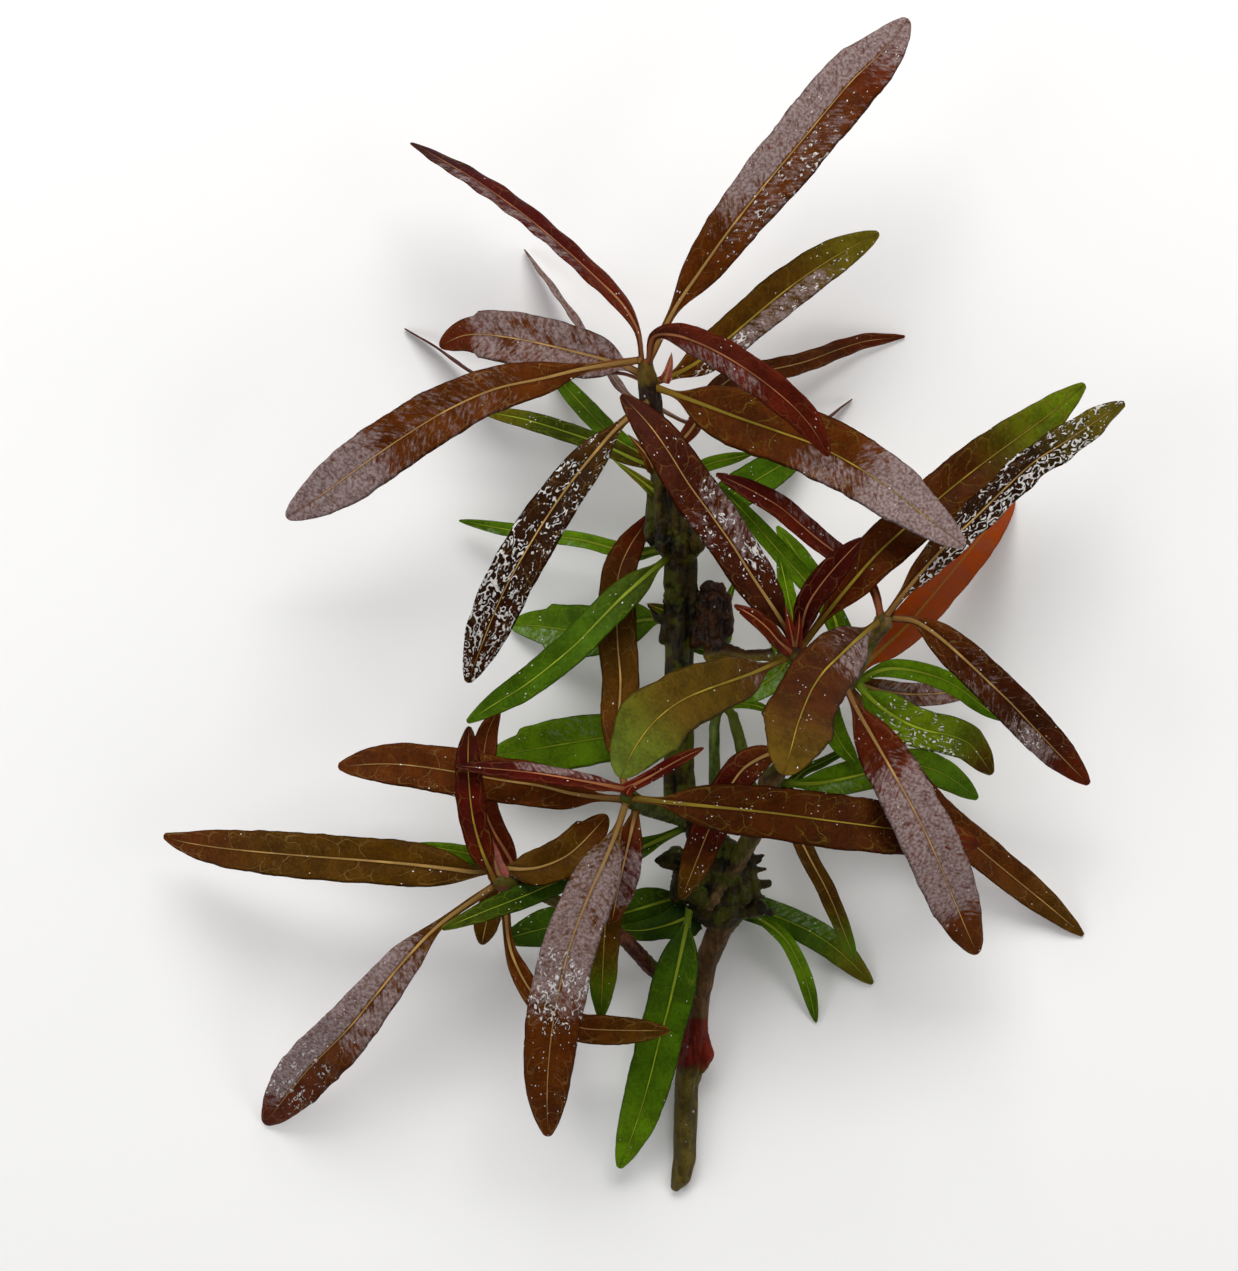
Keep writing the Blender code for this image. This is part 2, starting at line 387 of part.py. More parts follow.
def seated_path(blade, skins, is_pair):
    """The leaf's places with the foot brought up to the stem nearest to it."""
    places = [real_place(point) for point in blade.path]
    spot, outward = nearest_skin(places[0], skins)
    slope = (places[1] - spot).normalized().dot(outward)
    clear = FOOT_GAP + PETIOLE_WIDTH / 2
    if not is_pair:
        sideways = math.sqrt(max(0.0, 1.0 - slope * slope))
        clear = FOOT_GAP + max(0.0, PETIOLE_WIDTH / 2 * sideways - FIRST_RING * slope)
    places[0] = spot + outward * clear
    return places


def blade_stations(blade, places):
    """Stations from foot to tip, each (place, face, width, thickness, fold), and the line."""
    line = rounded_line(places)
    length = length_of(line)
    outline = LONG_OUTLINE if length > SHORT_BLADE else SHORT_OUTLINE
    shares = [(FIRST_RING / length, 0.0)]
    shares += [(share ** blade.lean, fullness) for share, fullness in outline]
    stations = []
    for share, fullness in shares:
        place, direction = walk(line, share * length)
        width = PETIOLE_WIDTH + max(blade.width - PETIOLE_WIDTH, 0.0) * fullness
        thickness = PETIOLE_THICKNESS + (BLADE_THICKNESS - PETIOLE_THICKNESS) * fullness
        if share > 0.7:
            width = blade.width * fullness
            thickness = TIP_THICKNESS + (BLADE_THICKNESS - TIP_THICKNESS) * fullness
        face = facing(direction, blade.roll)
        stations.append((place, face, width, thickness, BLADE_FOLD * fullness))
    return stations, line


def blade_ring(station, direction):
    """Six corners around a leaf: edge, three above, edge, and the keel below."""
    place, face, width, thickness, fold = station
    across = direction.cross(face).normalized()
    face = across.cross(direction).normalized()
    half = width / 2
    rise = half * fold
    return [
        place - across * half + face * rise,
        place - across * half * 0.5 + face * (rise * 0.4 + thickness * 0.42),
        place + face * thickness * 0.5,
        place + across * half * 0.5 + face * (rise * 0.4 + thickness * 0.42),
        place + across * half + face * rise,
        place - face * thickness * 0.5,
    ]


def evened_faces(stations):
    """The facings blended into their neighbours', so that the blade turns gradually."""
    faces = [station[1] for station in stations]
    for _ in range(2):
        inner = [(faces[index - 1] + 2 * faces[index] + faces[index + 1]).normalized()
                 for index in range(1, len(faces) - 1)]
        faces = [faces[0]] + inner + [faces[-1]]
    return faces


def leaf_rings(stations, first, last):
    places = [first] + [station[0] for station in stations] + [last]
    rings = []
    for index, face in enumerate(evened_faces(stations)):
        direction = (places[index + 2] - places[index]).normalized()
        place, _, width, thickness, fold = stations[index]
        rings.append(blade_ring((place, face, width, thickness, fold), direction))
    return rings


def round_ring(place, direction, half_width, half_height, sides):
    across = direction.cross(Vector((0, 0, 1))).normalized()
    face = across.cross(direction).normalized()
    ring = []
    for side in range(sides):
        turn = math.tau * (side + 0.5) / sides
        ring.append(place + across * half_width * math.cos(turn)
                    + face * half_height * math.sin(turn))
    return ring


def stem_rings(rows):
    """Rings along a stem, each standing square to the stem's line, and its two end points."""
    places = [real_place(row) for row in rows]
    rings = []
    for index, row in enumerate(rows):
        before = places[max(index - 1, 0)]
        after = places[min(index + 1, len(places) - 1)]
        direction = (after - before).normalized()
        rings.append(round_ring(places[index], direction, row[3], row[4], STEM_SIDES))
    ends = []
    for end, inner in ((0, 1), (-1, -2)):
        outward = (places[end] - places[inner]).normalized()
        ends.append(places[end] + outward * 0.35 * rows[end][4])
    return rings, ends[0], ends[1]


def material_for(name, slot):
    material = bpy.data.materials.new(name)
    material.use_nodes = True
    shader = material.node_tree.nodes["Principled BSDF"]
    shader.inputs["Base Color"].default_value = COLOURS[slot] + (1.0,)
    shader.inputs["Roughness"].default_value = 0.4
    return material


def make_solid(name, slot, rings, first, last):
    """One closed body: a skin over the rings, with a point at each end."""
    mesh = bpy.data.meshes.new(name)
    shape = bmesh.new()
    corners = [[shape.verts.new(corner * MM) for corner in ring] for ring in rings]
    start = shape.verts.new(first * MM)
    end = shape.verts.new(last * MM)
    sides = len(rings[0])
    for side in range(sides):
        following = (side + 1) % sides
        shape.faces.new((start, corners[0][following], corners[0][side]))
        shape.faces.new((end, corners[-1][side], corners[-1][following]))
        for ring, next_ring in zip(corners, corners[1:]):
            shape.faces.new((ring[side], ring[following], next_ring[following]))
            shape.faces.new((ring[side], next_ring[following], next_ring[side]))
    bmesh.ops.recalc_face_normals(shape, faces=shape.faces)
    shape.to_mesh(mesh)
    shape.free()
    solid = bpy.data.objects.new(name, mesh)
    bpy.context.scene.collection.objects.link(solid)
    solid.data.materials.append(material_for(name, slot))
    return solid


def make_leaf(name, slot, blade, skins):
    places = seated_path(blade, skins, is_pair=False)
    stations, line = blade_stations(blade, places)
    make_solid(name, slot, leaf_rings(stations, line[0], line[-1]), line[0], line[-1])


def make_pair(name, slot, one, other, skins):
    """Two leaves in one piece: from the tip of one, over their shared foot, to the other tip."""
    stations_one, line_one = blade_stations(one, seated_path(one, skins, is_pair=True))
    stations_other, line_other = blade_stations(other, seated_path(other, skins, is_pair=True))
    direction = (line_other[3] - line_one[3]).normalized()
    foot = (line_one[0], facing(direction, 0), PETIOLE_WIDTH, PETIOLE_THICKNESS, 0.0)
    stations = stations_one[:0:-1] + [foot] + stations_other[1:]
    rings = leaf_rings(stations, line_one[-1], line_other[-1])
    make_solid(name, slot, rings, line_one[-1], line_other[-1])


def join_stub(solid, foot, head, radius):
    """Grow one short stub out of a stem."""
    start = real_place(foot)
    end = real_place(head)
    direction = (end - start).normalized()
    rings = []
    for share, fullness in ((0.0, 1.25), (0.5, 1.0), (0.82, 0.95), (0.97, 0.55)):
        reach = radius * fullness
        rings.append(round_ring(start.lerp(end, share), direction, reach, reach, STUB_SIDES))
    stub = make_solid("stub", "stem_brown", rings, start - direction * radius, end)
    union = solid.modifiers.new("stub", "BOOLEAN")
    union.operation = "UNION"
    union.solver = "EXACT"
    union.object = stub
    bpy.context.view_layer.update()
    joined = bpy.data.meshes.new_from_object(
        solid.evaluated_get(bpy.context.evaluated_depsgraph_get()))
    solid.modifiers.clear()
    solid.data = joined
    bpy.data.objects.remove(stub)


def make_stem(name, slot, rows):
    rings, first, last = stem_rings(rows)
    solid = make_solid(name, slot, rings, first, last)
    for foot, head, radius in STUBS.get(name, []):
        join_stub(solid, foot, head, radius)
    return solid


def build():
    clear_scene()
    stems = [make_stem(name, slot, rows) for name, (slot, rows) in STEMS.items()]
    skins = [skin_of(stem) for stem in stems]
    for name, (slot, blade) in LEAVES.items():
        make_leaf("leaf_" + name, slot, blade, skins)
    for name, (slot, one, other) in PAIRS.items():
        make_pair("leaves_" + name, slot, one, other, skins)


build()
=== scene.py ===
"""Looks of the hygrophila cutting: fine leaves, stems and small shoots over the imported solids.

Each leaf is rebuilt from its own solid. The rings of corners along the solid give the leaf's
line, its width, its fold and the way its face looks, and a finer blade is drawn through them.
"""
import json
import math
import random

import bmesh
import bpy
from mathutils import Matrix, Vector, noise
from mathutils.bvhtree import BVHTree

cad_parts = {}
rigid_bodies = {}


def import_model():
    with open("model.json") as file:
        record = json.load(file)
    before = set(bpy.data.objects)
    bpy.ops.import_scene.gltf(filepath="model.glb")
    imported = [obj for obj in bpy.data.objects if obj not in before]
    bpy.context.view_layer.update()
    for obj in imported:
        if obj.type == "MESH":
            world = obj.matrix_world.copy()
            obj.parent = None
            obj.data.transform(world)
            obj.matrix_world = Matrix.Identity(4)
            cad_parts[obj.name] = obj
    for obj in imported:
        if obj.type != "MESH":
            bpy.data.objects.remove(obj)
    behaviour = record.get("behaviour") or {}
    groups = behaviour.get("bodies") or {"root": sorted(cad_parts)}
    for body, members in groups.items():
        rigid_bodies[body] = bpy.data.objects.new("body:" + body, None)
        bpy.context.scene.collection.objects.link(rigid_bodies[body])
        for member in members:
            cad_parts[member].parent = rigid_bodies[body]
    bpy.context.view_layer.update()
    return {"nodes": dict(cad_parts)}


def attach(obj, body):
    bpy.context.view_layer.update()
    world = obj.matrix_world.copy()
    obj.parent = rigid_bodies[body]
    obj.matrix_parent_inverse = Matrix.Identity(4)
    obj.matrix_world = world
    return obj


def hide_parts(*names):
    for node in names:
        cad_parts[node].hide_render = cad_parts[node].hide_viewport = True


MM = 0.001

# The camera looks straight down on the lying plant, as the photograph looks at it.
VIEW_DISTANCE = 600.0
VIEW_PLANE_HEIGHT = 28.0
VIEW_CENTRE = (-4.7, -5.3)
BOX_CENTRE = (-1.4, -2.4)
SENSOR_MM = 36.0
VIEW_HEIGHT_MM = 228.8

FLOOR_SIZE = 6.0
FLOOR_COLOUR = (0.97, 0.97, 0.97)

# Numbers of rows and columns in a fine blade.
ROW_STEP = 0.8
TIP_ROW_STEP = 0.3
WING_COLUMNS = (0.14, 0.32, 0.52, 0.70, 0.86, 1.0)
RIB_COLUMNS = (0.0, 0.55, 1.0)
BLADE_THICKNESS = 0.34
FOOT_SINK = 0.9
FOOT_WING = 0.4
CORNERS = 6
TIP_FULLNESS = 0.3


def srgb(red, green, blue):
    """A colour given on the 0 to 255 scale, as the linear value that shaders take."""
    values = []
    for channel in (red, green, blue):
        share = channel / 255.0
        values.append(share / 12.92 if share <= 0.04045 else ((share + 0.055) / 1.055) ** 2.4)
    return tuple(values)


BRONZE = srgb(88, 42, 6)
DEEP_BROWN = srgb(58, 24, 5)
DARK_BRONZE = srgb(74, 34, 5)
BROWN_RED = srgb(88, 30, 6)
WINE = srgb(92, 28, 12)
DEEP_RED = srgb(62, 20, 4)
BLACK_BROWN = srgb(42, 20, 5)
PURPLE = srgb(72, 13, 6)
DARK_PURPLE = srgb(52, 9, 4)
BUD_RED = srgb(122, 30, 12)
OLIVE_BROWN = srgb(78, 50, 4)
BROWN_OLIVE = srgb(88, 66, 12)
OLIVE = srgb(98, 90, 14)
OLIVE_GREEN = srgb(86, 100, 26)
MOSS = srgb(60, 72, 9)
GREEN = srgb(66, 98, 6)
BRIGHT_GREEN = srgb(92, 128, 10)
DARK_GREEN = srgb(42, 68, 7)
YELLOW_GREEN = srgb(94, 114, 8)
ORANGE_BROWN = srgb(156, 62, 3)
RIB_TAN = srgb(158, 124, 70)
RIB_OLIVE = srgb(138, 118, 40)
RIB_RED = srgb(150, 96, 60)
RIB_GREEN = srgb(126, 140, 36)
# Colours of the painted sheen: a greyish reflection painted onto the leaves' faces.
PAINTED_SHEEN_LIGHT = srgb(158, 140, 139)
PAINTED_SHEEN_DARK = srgb(117, 95, 90)
GREEN_PAINTED_SHEEN_LIGHT = srgb(142, 160, 122)
GREEN_PAINTED_SHEEN_DARK = srgb(96, 120, 66)
OLIVE_STAIN = srgb(64, 68, 5)
BROWN_STAIN = srgb(54, 29, 5)
# White of the painted highlights: bright beads and lines on the wet leaves, and glints on the
# stems.
HIGHLIGHT_WHITE = srgb(244, 240, 236)
UNDER_RED = srgb(122, 66, 52)
UNDER_GREEN = srgb(112, 128, 66)
MOTTLE_DARK = (0.58, 0.54, 0.52)
MOTTLE_LIGHT = (1.20, 1.18, 1.12)


class Look:
    """How one blade is coloured from its foot to its tip, and where painted highlights make its
    face look wet.

    The sheen and wet-highlight stretches hold (from, to, side, strength) of the blade, with side -1
    for its left half, 1 for its right half and 0 for both. The sheen is a painted greyish
    reflection in fine grains, and the wet highlights are a ragged net of painted bright lines with
    painted shade between them. specks is the share of the face with small painted highlight dots.
    wave is the rise of the wavy edges in millimetres. blunt widens the blade toward its tip.
    """

    def __init__(self, foot, middle, tip, rib=RIB_TAN, film=(), wet=(), specks=0.08, wave=0.22,
                 veins=0.5, blunt=0.15):
        self.foot = foot
        self.middle = middle
        self.tip = tip
        self.rib = rib
        self.film = film
        self.wet = wet
        self.specks = specks
        self.wave = wave
        self.veins = veins
        self.blunt = blunt


def bronze(**more):
    return Look(BRONZE, BRONZE, BROWN_RED, **more)


def purple(**more):
    return Look(BROWN_RED, PURPLE, DARK_PURPLE, rib=more.pop("rib", RIB_RED), **more)


def bud_red(**more):
    return Look(BUD_RED, BUD_RED, PURPLE, rib=RIB_RED, **more)


def green(**more):
    return Look(GREEN, BRIGHT_GREEN, GREEN, rib=more.pop("rib", RIB_GREEN), **more)


# One look for each single leaf.
LEAF_LOOKS = {
    "top_up_right": bronze(film=((0.36, 1.0, -1, 0.95), (0.84, 1.0, 0, 0.9),
                                 (0.3, 0.8, 1, 0.56)), wet=((0.3, 0.72, 1, 0.6),),
                           specks=0.3, veins=0.3, blunt=0.3),
    "top_up_left": purple(film=((0.3, 0.9, -1, 0.6),), specks=0.1),
    "top_left_upper": bronze(film=((0.0, 0.86, 0, 0.78),), specks=0.04, veins=0.2),
    "top_left_long": bronze(film=((0.66, 1.0, 0, 1.0), (0.3, 0.72, 0, 0.5)), specks=0.05,
                            veins=0.9, blunt=0.2),
    "top_left_edge_on": purple(),
    "top_down_left": Look(OLIVE_BROWN, BLACK_BROWN, DEEP_BROWN, wet=((0.5, 1.0, 1, 1.0),
                          (0.6, 1.0, -1, 0.86), (0.1, 0.6, -1, 0.7), (0.1, 0.5, 1, 0.66)),
                          specks=0.5),
    "top_arching_right": Look(BROWN_RED, WINE, WINE, rib=RIB_RED, film=((0.2, 0.7, 1, 0.62),),
                              specks=0.2),
    "top_right_long": bronze(rib=RIB_OLIVE, film=((0.64, 1.0, 0, 1.0), (0.46, 0.7, 1, 0.76)),
                             specks=0.06, veins=0.9),
    "top_right_upper": Look(BRONZE, OLIVE_BROWN, OLIVE, film=((0.25, 0.8, 1, 0.74),),
                            wet=((0.0, 0.45, 1, 0.72), (0.45, 0.9, 1, 0.56)), specks=0.3,
                            rib=RIB_OLIVE),
    "inner_up_left": Look(DEEP_BROWN, DEEP_RED, DEEP_RED, veins=0.35, film=((0.3, 0.66, 1, 0.62),
                          (0.4, 0.62, -1, 0.5)), wet=((0.2, 0.66, 1, 0.72),
                          (0.3, 0.6, -1, 0.58)), specks=0.3),
    "inner_dark": Look(PURPLE, DARK_PURPLE, DARK_PURPLE, rib=RIB_RED, specks=0.05),
    "inner_up_right": Look(BROWN_RED, DARK_BRONZE, YELLOW_GREEN, rib=RIB_OLIVE, specks=0.06,
                           veins=0.9),
    "inner_front_left": Look(DARK_BRONZE, BROWN_OLIVE, OLIVE_GREEN, rib=RIB_OLIVE,
                             film=((0.1, 0.3, 0, 0.5),), specks=0.03, veins=0.25, blunt=0.7,
                             wave=0.1),
    "inner_small_red": Look(BUD_RED, BROWN_RED, PURPLE, rib=RIB_RED, specks=0.1),
    "outer_up_left": Look(BROWN_RED, WINE, PURPLE, rib=RIB_RED, film=((0.2, 0.8, 1, 0.56),),
                          specks=0.2),
    "outer_up_right": Look(BRONZE, BLACK_BROWN, OLIVE, wet=((0.1, 0.9, 1, 1.0),
                           (0.25, 1.0, -1, 0.74)), specks=0.3, wave=0.7, blunt=0.35),
    "outer_down_right": Look(BRONZE, DEEP_BROWN, BROWN_RED, film=((0.55, 0.85, 1, 0.8),
                             (0.2, 0.6, 0, 0.42)), wet=((0.55, 0.8, 1, 0.66),), specks=0.25),
    "outer_front_down": Look(DEEP_BROWN, DARK_BRONZE, BROWN_OLIVE, rib=RIB_OLIVE, specks=0.12,
                             veins=0.4,
                             film=((0.0, 0.4, -1, 0.74), (0.1, 0.4, 1, 0.5)), blunt=0.75,
                             wave=0.15),
    "low_orange_back": Look(ORANGE_BROWN, ORANGE_BROWN, ORANGE_BROWN, rib=RIB_OLIVE, veins=0.3),
    "low_far_right": Look(BROWN_RED, BRONZE, OLIVE_BROWN, specks=0.12),
    "low_down": Look(BROWN_RED, BROWN_RED, BRONZE, film=((0.28, 0.85, 0, 0.92),), specks=0.12),
    "low_folded_tip": Look(GREEN, YELLOW_GREEN, OLIVE_BROWN, rib=RIB_GREEN, specks=0.3,
                           wet=((0.15, 0.75, 1, 0.74), (0.2, 0.7, -1, 0.56)), wave=0.6),
    "low_green_narrow": green(specks=0.15),
    "branch_green_arch": green(specks=0.1, film=((0.1, 0.4, 1, 0.6),)),
    "branch_down_left": Look(BRONZE, PURPLE, OLIVE_BROWN, specks=0.35),
    "centre_up": Look(BRONZE, OLIVE_BROWN, BROWN_RED, specks=0.04),
    "centre_left": Look(BRONZE, BRONZE, BRONZE, specks=0.12, veins=0.9),
    "centre_right_long": Look(DARK_BRONZE, DARK_BRONZE, BROWN_RED, rib=RIB_OLIVE, specks=0.26,
                              veins=0.9),
    "centre_down_long": Look(OLIVE_BROWN, BRONZE, BRONZE, film=((0.1, 0.62, 0, 0.86),),
                             wet=((0.4, 0.68, 0, 0.72),), specks=0.22, veins=0.8),
    "centre_down_short": Look(BRONZE, PURPLE, BRONZE, film=((0.3, 0.9, 0, 0.7),), specks=0.3),
    "centre_down_back": Look(BRONZE, OLIVE_BROWN, GREEN, rib=RIB_OLIVE, specks=0.15),
    "left_down_long": Look(OLIVE_BROWN, BRONZE, BROWN_RED, film=((0.2, 0.92, 1, 1.0),
                           (0.22, 0.6, -1, 0.86)), wet=((0.6, 0.95, 0, 0.6),), specks=0.2),
    "left_curled": Look(BRONZE, BRONZE, OLIVE_BROWN, specks=0.08),
    "left_up_dark": purple(specks=0.08, rib=RIB_OLIVE),
    "knot_green_left": Look(GREEN, DARK_GREEN, MOSS, rib=RIB_GREEN, specks=0.3),
    "knot_down_green": Look(DARK_GREEN, GREEN, BRIGHT_GREEN, rib=RIB_GREEN, specks=0.1),
    "knot_down_narrow": green(specks=0.05),
    "stem_green_diagonal": Look(MOSS, GREEN, GREEN, rib=RIB_GREEN, specks=0.3),
}

# Two looks for each pair of leaves: the first one's and the second one's.
PAIR_LOOKS = {
    "top_pair_behind": (Look(BROWN_RED, BROWN_RED, BROWN_RED, film=((0.0, 1.0, 0, 0.7),)),
                        Look(BROWN_RED, BROWN_RED, PURPLE, film=((0.2, 1.0, -1, 0.65),))),
    "stem_pair_low": (Look(BROWN_RED, BRONZE, BROWN_RED), green()),
    "stem_pair_olive": (Look(OLIVE_BROWN, MOSS, OLIVE, rib=RIB_GREEN, specks=0.2,
                             wet=((0.1, 0.8, 1, 0.35),)), green()),
    "joint_pair_green": (Look(MOSS, GREEN, GREEN, rib=RIB_GREEN, specks=0.2),
                         green(film=((0.4, 0.9, -1, 0.7),))),
    "inner_pair": (green(), green(film=((0.2, 0.8, 0, 0.6),))),
    "low_pair_green": (green(), green(specks=0.2)),
    "low_pair_back": (Look(DARK_GREEN, GREEN, BRIGHT_GREEN, rib=RIB_GREEN),
                      Look(OLIVE_BROWN, BRONZE, OLIVE_BROWN, film=((0.2, 0.9, 0, 0.7),))),
    "joint_pair_broad": (Look(BRIGHT_GREEN, GREEN, BRIGHT_GREEN, rib=RIB_GREEN,
                              film=((0.45, 1.0, -1, 0.72),)), green()),
    "stem_pair_wide": (Look(BRIGHT_GREEN, BRIGHT_GREEN, BRIGHT_GREEN, rib=RIB_GREEN,
                            film=((0.35, 0.7, 1, 0.5),), veins=0.9), green()),
    "centre_pair_dark": (purple(film=((0.1, 0.7, 1, 0.75),)),
                         Look(BUD_RED, PURPLE, BROWN_RED, rib=RIB_RED, specks=0.2)),
    "branch_pair": (Look(BRONZE, OLIVE_BROWN, GREEN), Look(MOSS, GREEN, DARK_GREEN,
                                                           rib=RIB_GREEN, specks=0.3)),
    "left_pair_long": (Look(OLIVE_BROWN, OLIVE_BROWN, BRONZE, veins=0.9),
                       Look(OLIVE_BROWN, OLIVE_BROWN, BRONZE)),
    "left_pair_olive": (Look(BRONZE, OLIVE_BROWN, OLIVE_BROWN),
                        Look(BROWN_RED, BROWN_RED, BRONZE, rib=RIB_RED)),
    "knot_pair_wide": (Look(DARK_GREEN, GREEN, DARK_GREEN, rib=RIB_GREEN),
                       Look(GREEN, GREEN, OLIVE, rib=RIB_GREEN, film=((0.2, 0.8, -1, 0.6),))),
}

VEIN_STEP = 4.6

STEMS = ("stem_lower", "stem_middle", "stem_upper", "branch_right", "branch_inner",
         "branch_left", "branch_centre", "shoot_thin")


def smooth_step(low, high, value):
    """0 at low and 1 at high, with a smooth rise between. low may be above high."""
    share = min(1.0, max(0.0, (value - low) / (high - low)))
    return share * share * (3.0 - 2.0 * share)


def seen_at(right, up, height):
    """The place of a point read on the plane of view, in metres, as the solids have it."""
    nearness = 1.0 - (height - VIEW_PLANE_HEIGHT) / VIEW_DISTANCE
    across = VIEW_CENTRE[0] + (right - VIEW_CENTRE[0]) * nearness - BOX_CENTRE[0]
    along = VIEW_CENTRE[1] + (up - VIEW_CENTRE[1]) * nearness - BOX_CENTRE[1]
    return Vector((across, along, height))


# Reading a leaf's rings from its solid.


def welded(node):
    """The solid's corners in millimetres, each once, and the corners next to each."""
    number_at = {}
    corners = []
    numbers = []
    for vertex in node.data.vertices:
        key = tuple(round(value * 1e6) for value in vertex.co)
        if key not in number_at:
            number_at[key] = len(corners)
            corners.append(vertex.co / MM)
        numbers.append(number_at[key])
    beside = [set() for _ in corners]
    for face in node.data.polygons:
        around = [numbers[index] for index in face.vertices]
        for one, other in zip(around, around[1:] + around[:1]):
            beside[one].add(other)
            beside[other].add(one)
    return corners, beside


def layers_from(start, beside):
    """The corners in layers by how many edges away from the start they are."""
    layers = [[start]]
    seen = {start}
    while True:
        ring = []
        for corner in layers[-1]:
            for other in sorted(beside[corner]):
                if other not in seen:
                    seen.add(other)
                    ring.append(other)
        if not ring:
            return layers
        layers.append(ring)


def in_order(ring, beside):
    """The ring's corners in their order around it."""
    ordered = [ring[0]]
    left = set(ring[1:])
    while left:
        following = next(corner for corner in sorted(beside[ordered[-1]]) if corner in left)
        ordered.append(following)
        left.remove(following)
    return ordered


def solid_rings(node):
    """The two end points of a leaf's solid, and the six corners of each ring between them."""
    corners, beside = welded(node)
    for start, near in enumerate(beside):
        if len(near) != CORNERS:
            continue
        layers = layers_from(start, beside)
        if len(layers[-1]) == 1 and all(len(layer) == CORNERS for layer in layers[1:-1]):
            rings = [[corners[corner] for corner in in_order(layer, beside)]
                     for layer in layers[1:-1]]
            return corners[start], rings, corners[layers[-1][0]]
    raise ValueError("no rings in " + node.name)


def turned_to(ring, offsets):
    """The ring's corners in the order that fits the ring before it."""
    centre = sum(ring, Vector()) / CORNERS
    best = None
    for way in (1, -1):
        for shift in range(CORNERS):
            tried = [ring[(shift + way * index) % CORNERS] for index in range(CORNERS)]
            miss = sum((corner - centre - offset).length_squared
                       for corner, offset in zip(tried, offsets))
            if best is None or miss < best[0]:
                best = (miss, tried)
    return best[1]


def offsets_of(ring):
    centre = sum(ring, Vector()) / CORNERS
    return [corner - centre for corner in ring]


def lined_up(rings):
    """Every ring in one order: edge, three above, edge, keel."""
    spans = [max((ring[index] - ring[(index + 4) % CORNERS]).length for index in range(CORNERS))
             for ring in rings]
    widest = spans.index(max(spans))
    ring = rings[widest]
    first = max(range(CORNERS),
                key=lambda index: (ring[index] - ring[(index + 4) % CORNERS]).length)
    ordered = {widest: [ring[(first + index) % CORNERS] for index in range(CORNERS)]}
    for indices in (range(widest + 1, len(rings)), range(widest - 1, -1, -1)):
        before = ordered[widest]
        for index in indices:
            before = turned_to(rings[index], offsets_of(before))
            ordered[index] = before
    return [ordered[index] for index in range(len(rings))]


class Station:
    """One place along a blade: where it is, which way it faces, and how wide it is."""

    def __init__(self, place, across, face, half, rise):
        self.place = place
        self.across = across
        self.face = face
        self.half = half
        self.rise = rise


def station_of(ring):
    place = (ring[2] + ring[5]) / 2
    face = (ring[2] - ring[5]).normalized()
    span = ring[4] - ring[0]
    rise = ((ring[0] + ring[4]) / 2 - place).dot(face)
    return Station(place, span.normalized(), face, span.length / 2, rise)


def end_station(place, near):
    """A blade's end, which keeps the way of the station next to it and is not quite sharp."""
    return Station(place, near.across, near.face, near.half * TIP_FULLNESS, 0.0)


def blades_in(node, stems, is_pair):
    """Lists of stations from foot to tip: one for a single leaf, two for a pair."""
    first, rings, last = solid_rings(node)
    stations = [station_of(ring) for ring in lined_up(rings)]
    stations = [end_station(first, stations[0])] + stations + [end_station(last, stations[-1])]
    gaps = [min(stem.find_nearest(station.place)[3] for stem in stems) for station in stations]
    if not is_pair:
        if gaps[0] > gaps[-1]:
            stations.reverse()
        return [stations]
    foot = gaps.index(min(gaps))
    return [stations[foot::-1], stations[foot:]]


def right_handed(stations):
    """Stations whose across points to the blade's right as its face is seen, foot at the back."""
    turned = []
    for index, station in enumerate(stations):
        after = stations[min(index + 1, len(stations) - 1)].place
        before = stations[max(index - 1, 0)].place
        along = (after - before).normalized()
        across = along.cross(station.face).normalized()
        turned.append(Station(station.place, across, station.face, station.half, station.rise))
    return turned


# Drawing the fine blade.


def blended(before, here, there, after, share):
    """A smooth value between here and there, of numbers or of vectors."""
    return 0.5 * (2 * here + (there - before) * share
                  + (2 * before - 5 * here + 4 * there - after) * share * share
                  + (3 * here - before - 3 * there + after) * share ** 3)


def fine_rows(stations):
    """Many stations through the given ones, each with its distance from the foot."""
    padded = [stations[0]] + stations + [stations[-1]]
    rows = []
    for index in range(1, len(padded) - 2):
        four = padded[index - 1:index + 3]
        row_step = TIP_ROW_STEP if index == len(padded) - 3 else ROW_STEP
        steps = max(2, round((four[2].place - four[1].place).length / row_step))
        for step in range(steps):
            share = step / steps
            place = blended(*[station.place for station in four], share)
            across = blended(*[station.across for station in four], share).normalized()
            face = blended(*[station.face for station in four], share)
            half = max(0.0, blended(*[station.half for station in four], share))
            rise = blended(*[station.rise for station in four], share)
            rows.append(Station(place, across, face.normalized(), half, rise))
    rows.append(stations[-1])
    return rows


def rib_size(row_share):
    """Half the width of the middle rib, in millimetres, from foot to tip."""
    return 0.16 + 0.50 * math.exp(-4.5 * row_share) - 0.07 * row_share


def blunted(half, row_share, length_left, blunt):
    """Half the blade's width, winged at its foot, fuller before the tip and rounded at it."""
    winged = FOOT_WING * smooth_step(0.01, 0.09, row_share) * smooth_step(0.45, 0.12, row_share)
    fuller = half * (1.0 + winged + blunt * smooth_step(0.62, 0.92, row_share))
    if row_share < 0.8:
        return fuller
    return min(fuller, math.sqrt(max(0.0, length_left) * (0.9 + 2.4 * blunt)) * 1.1)


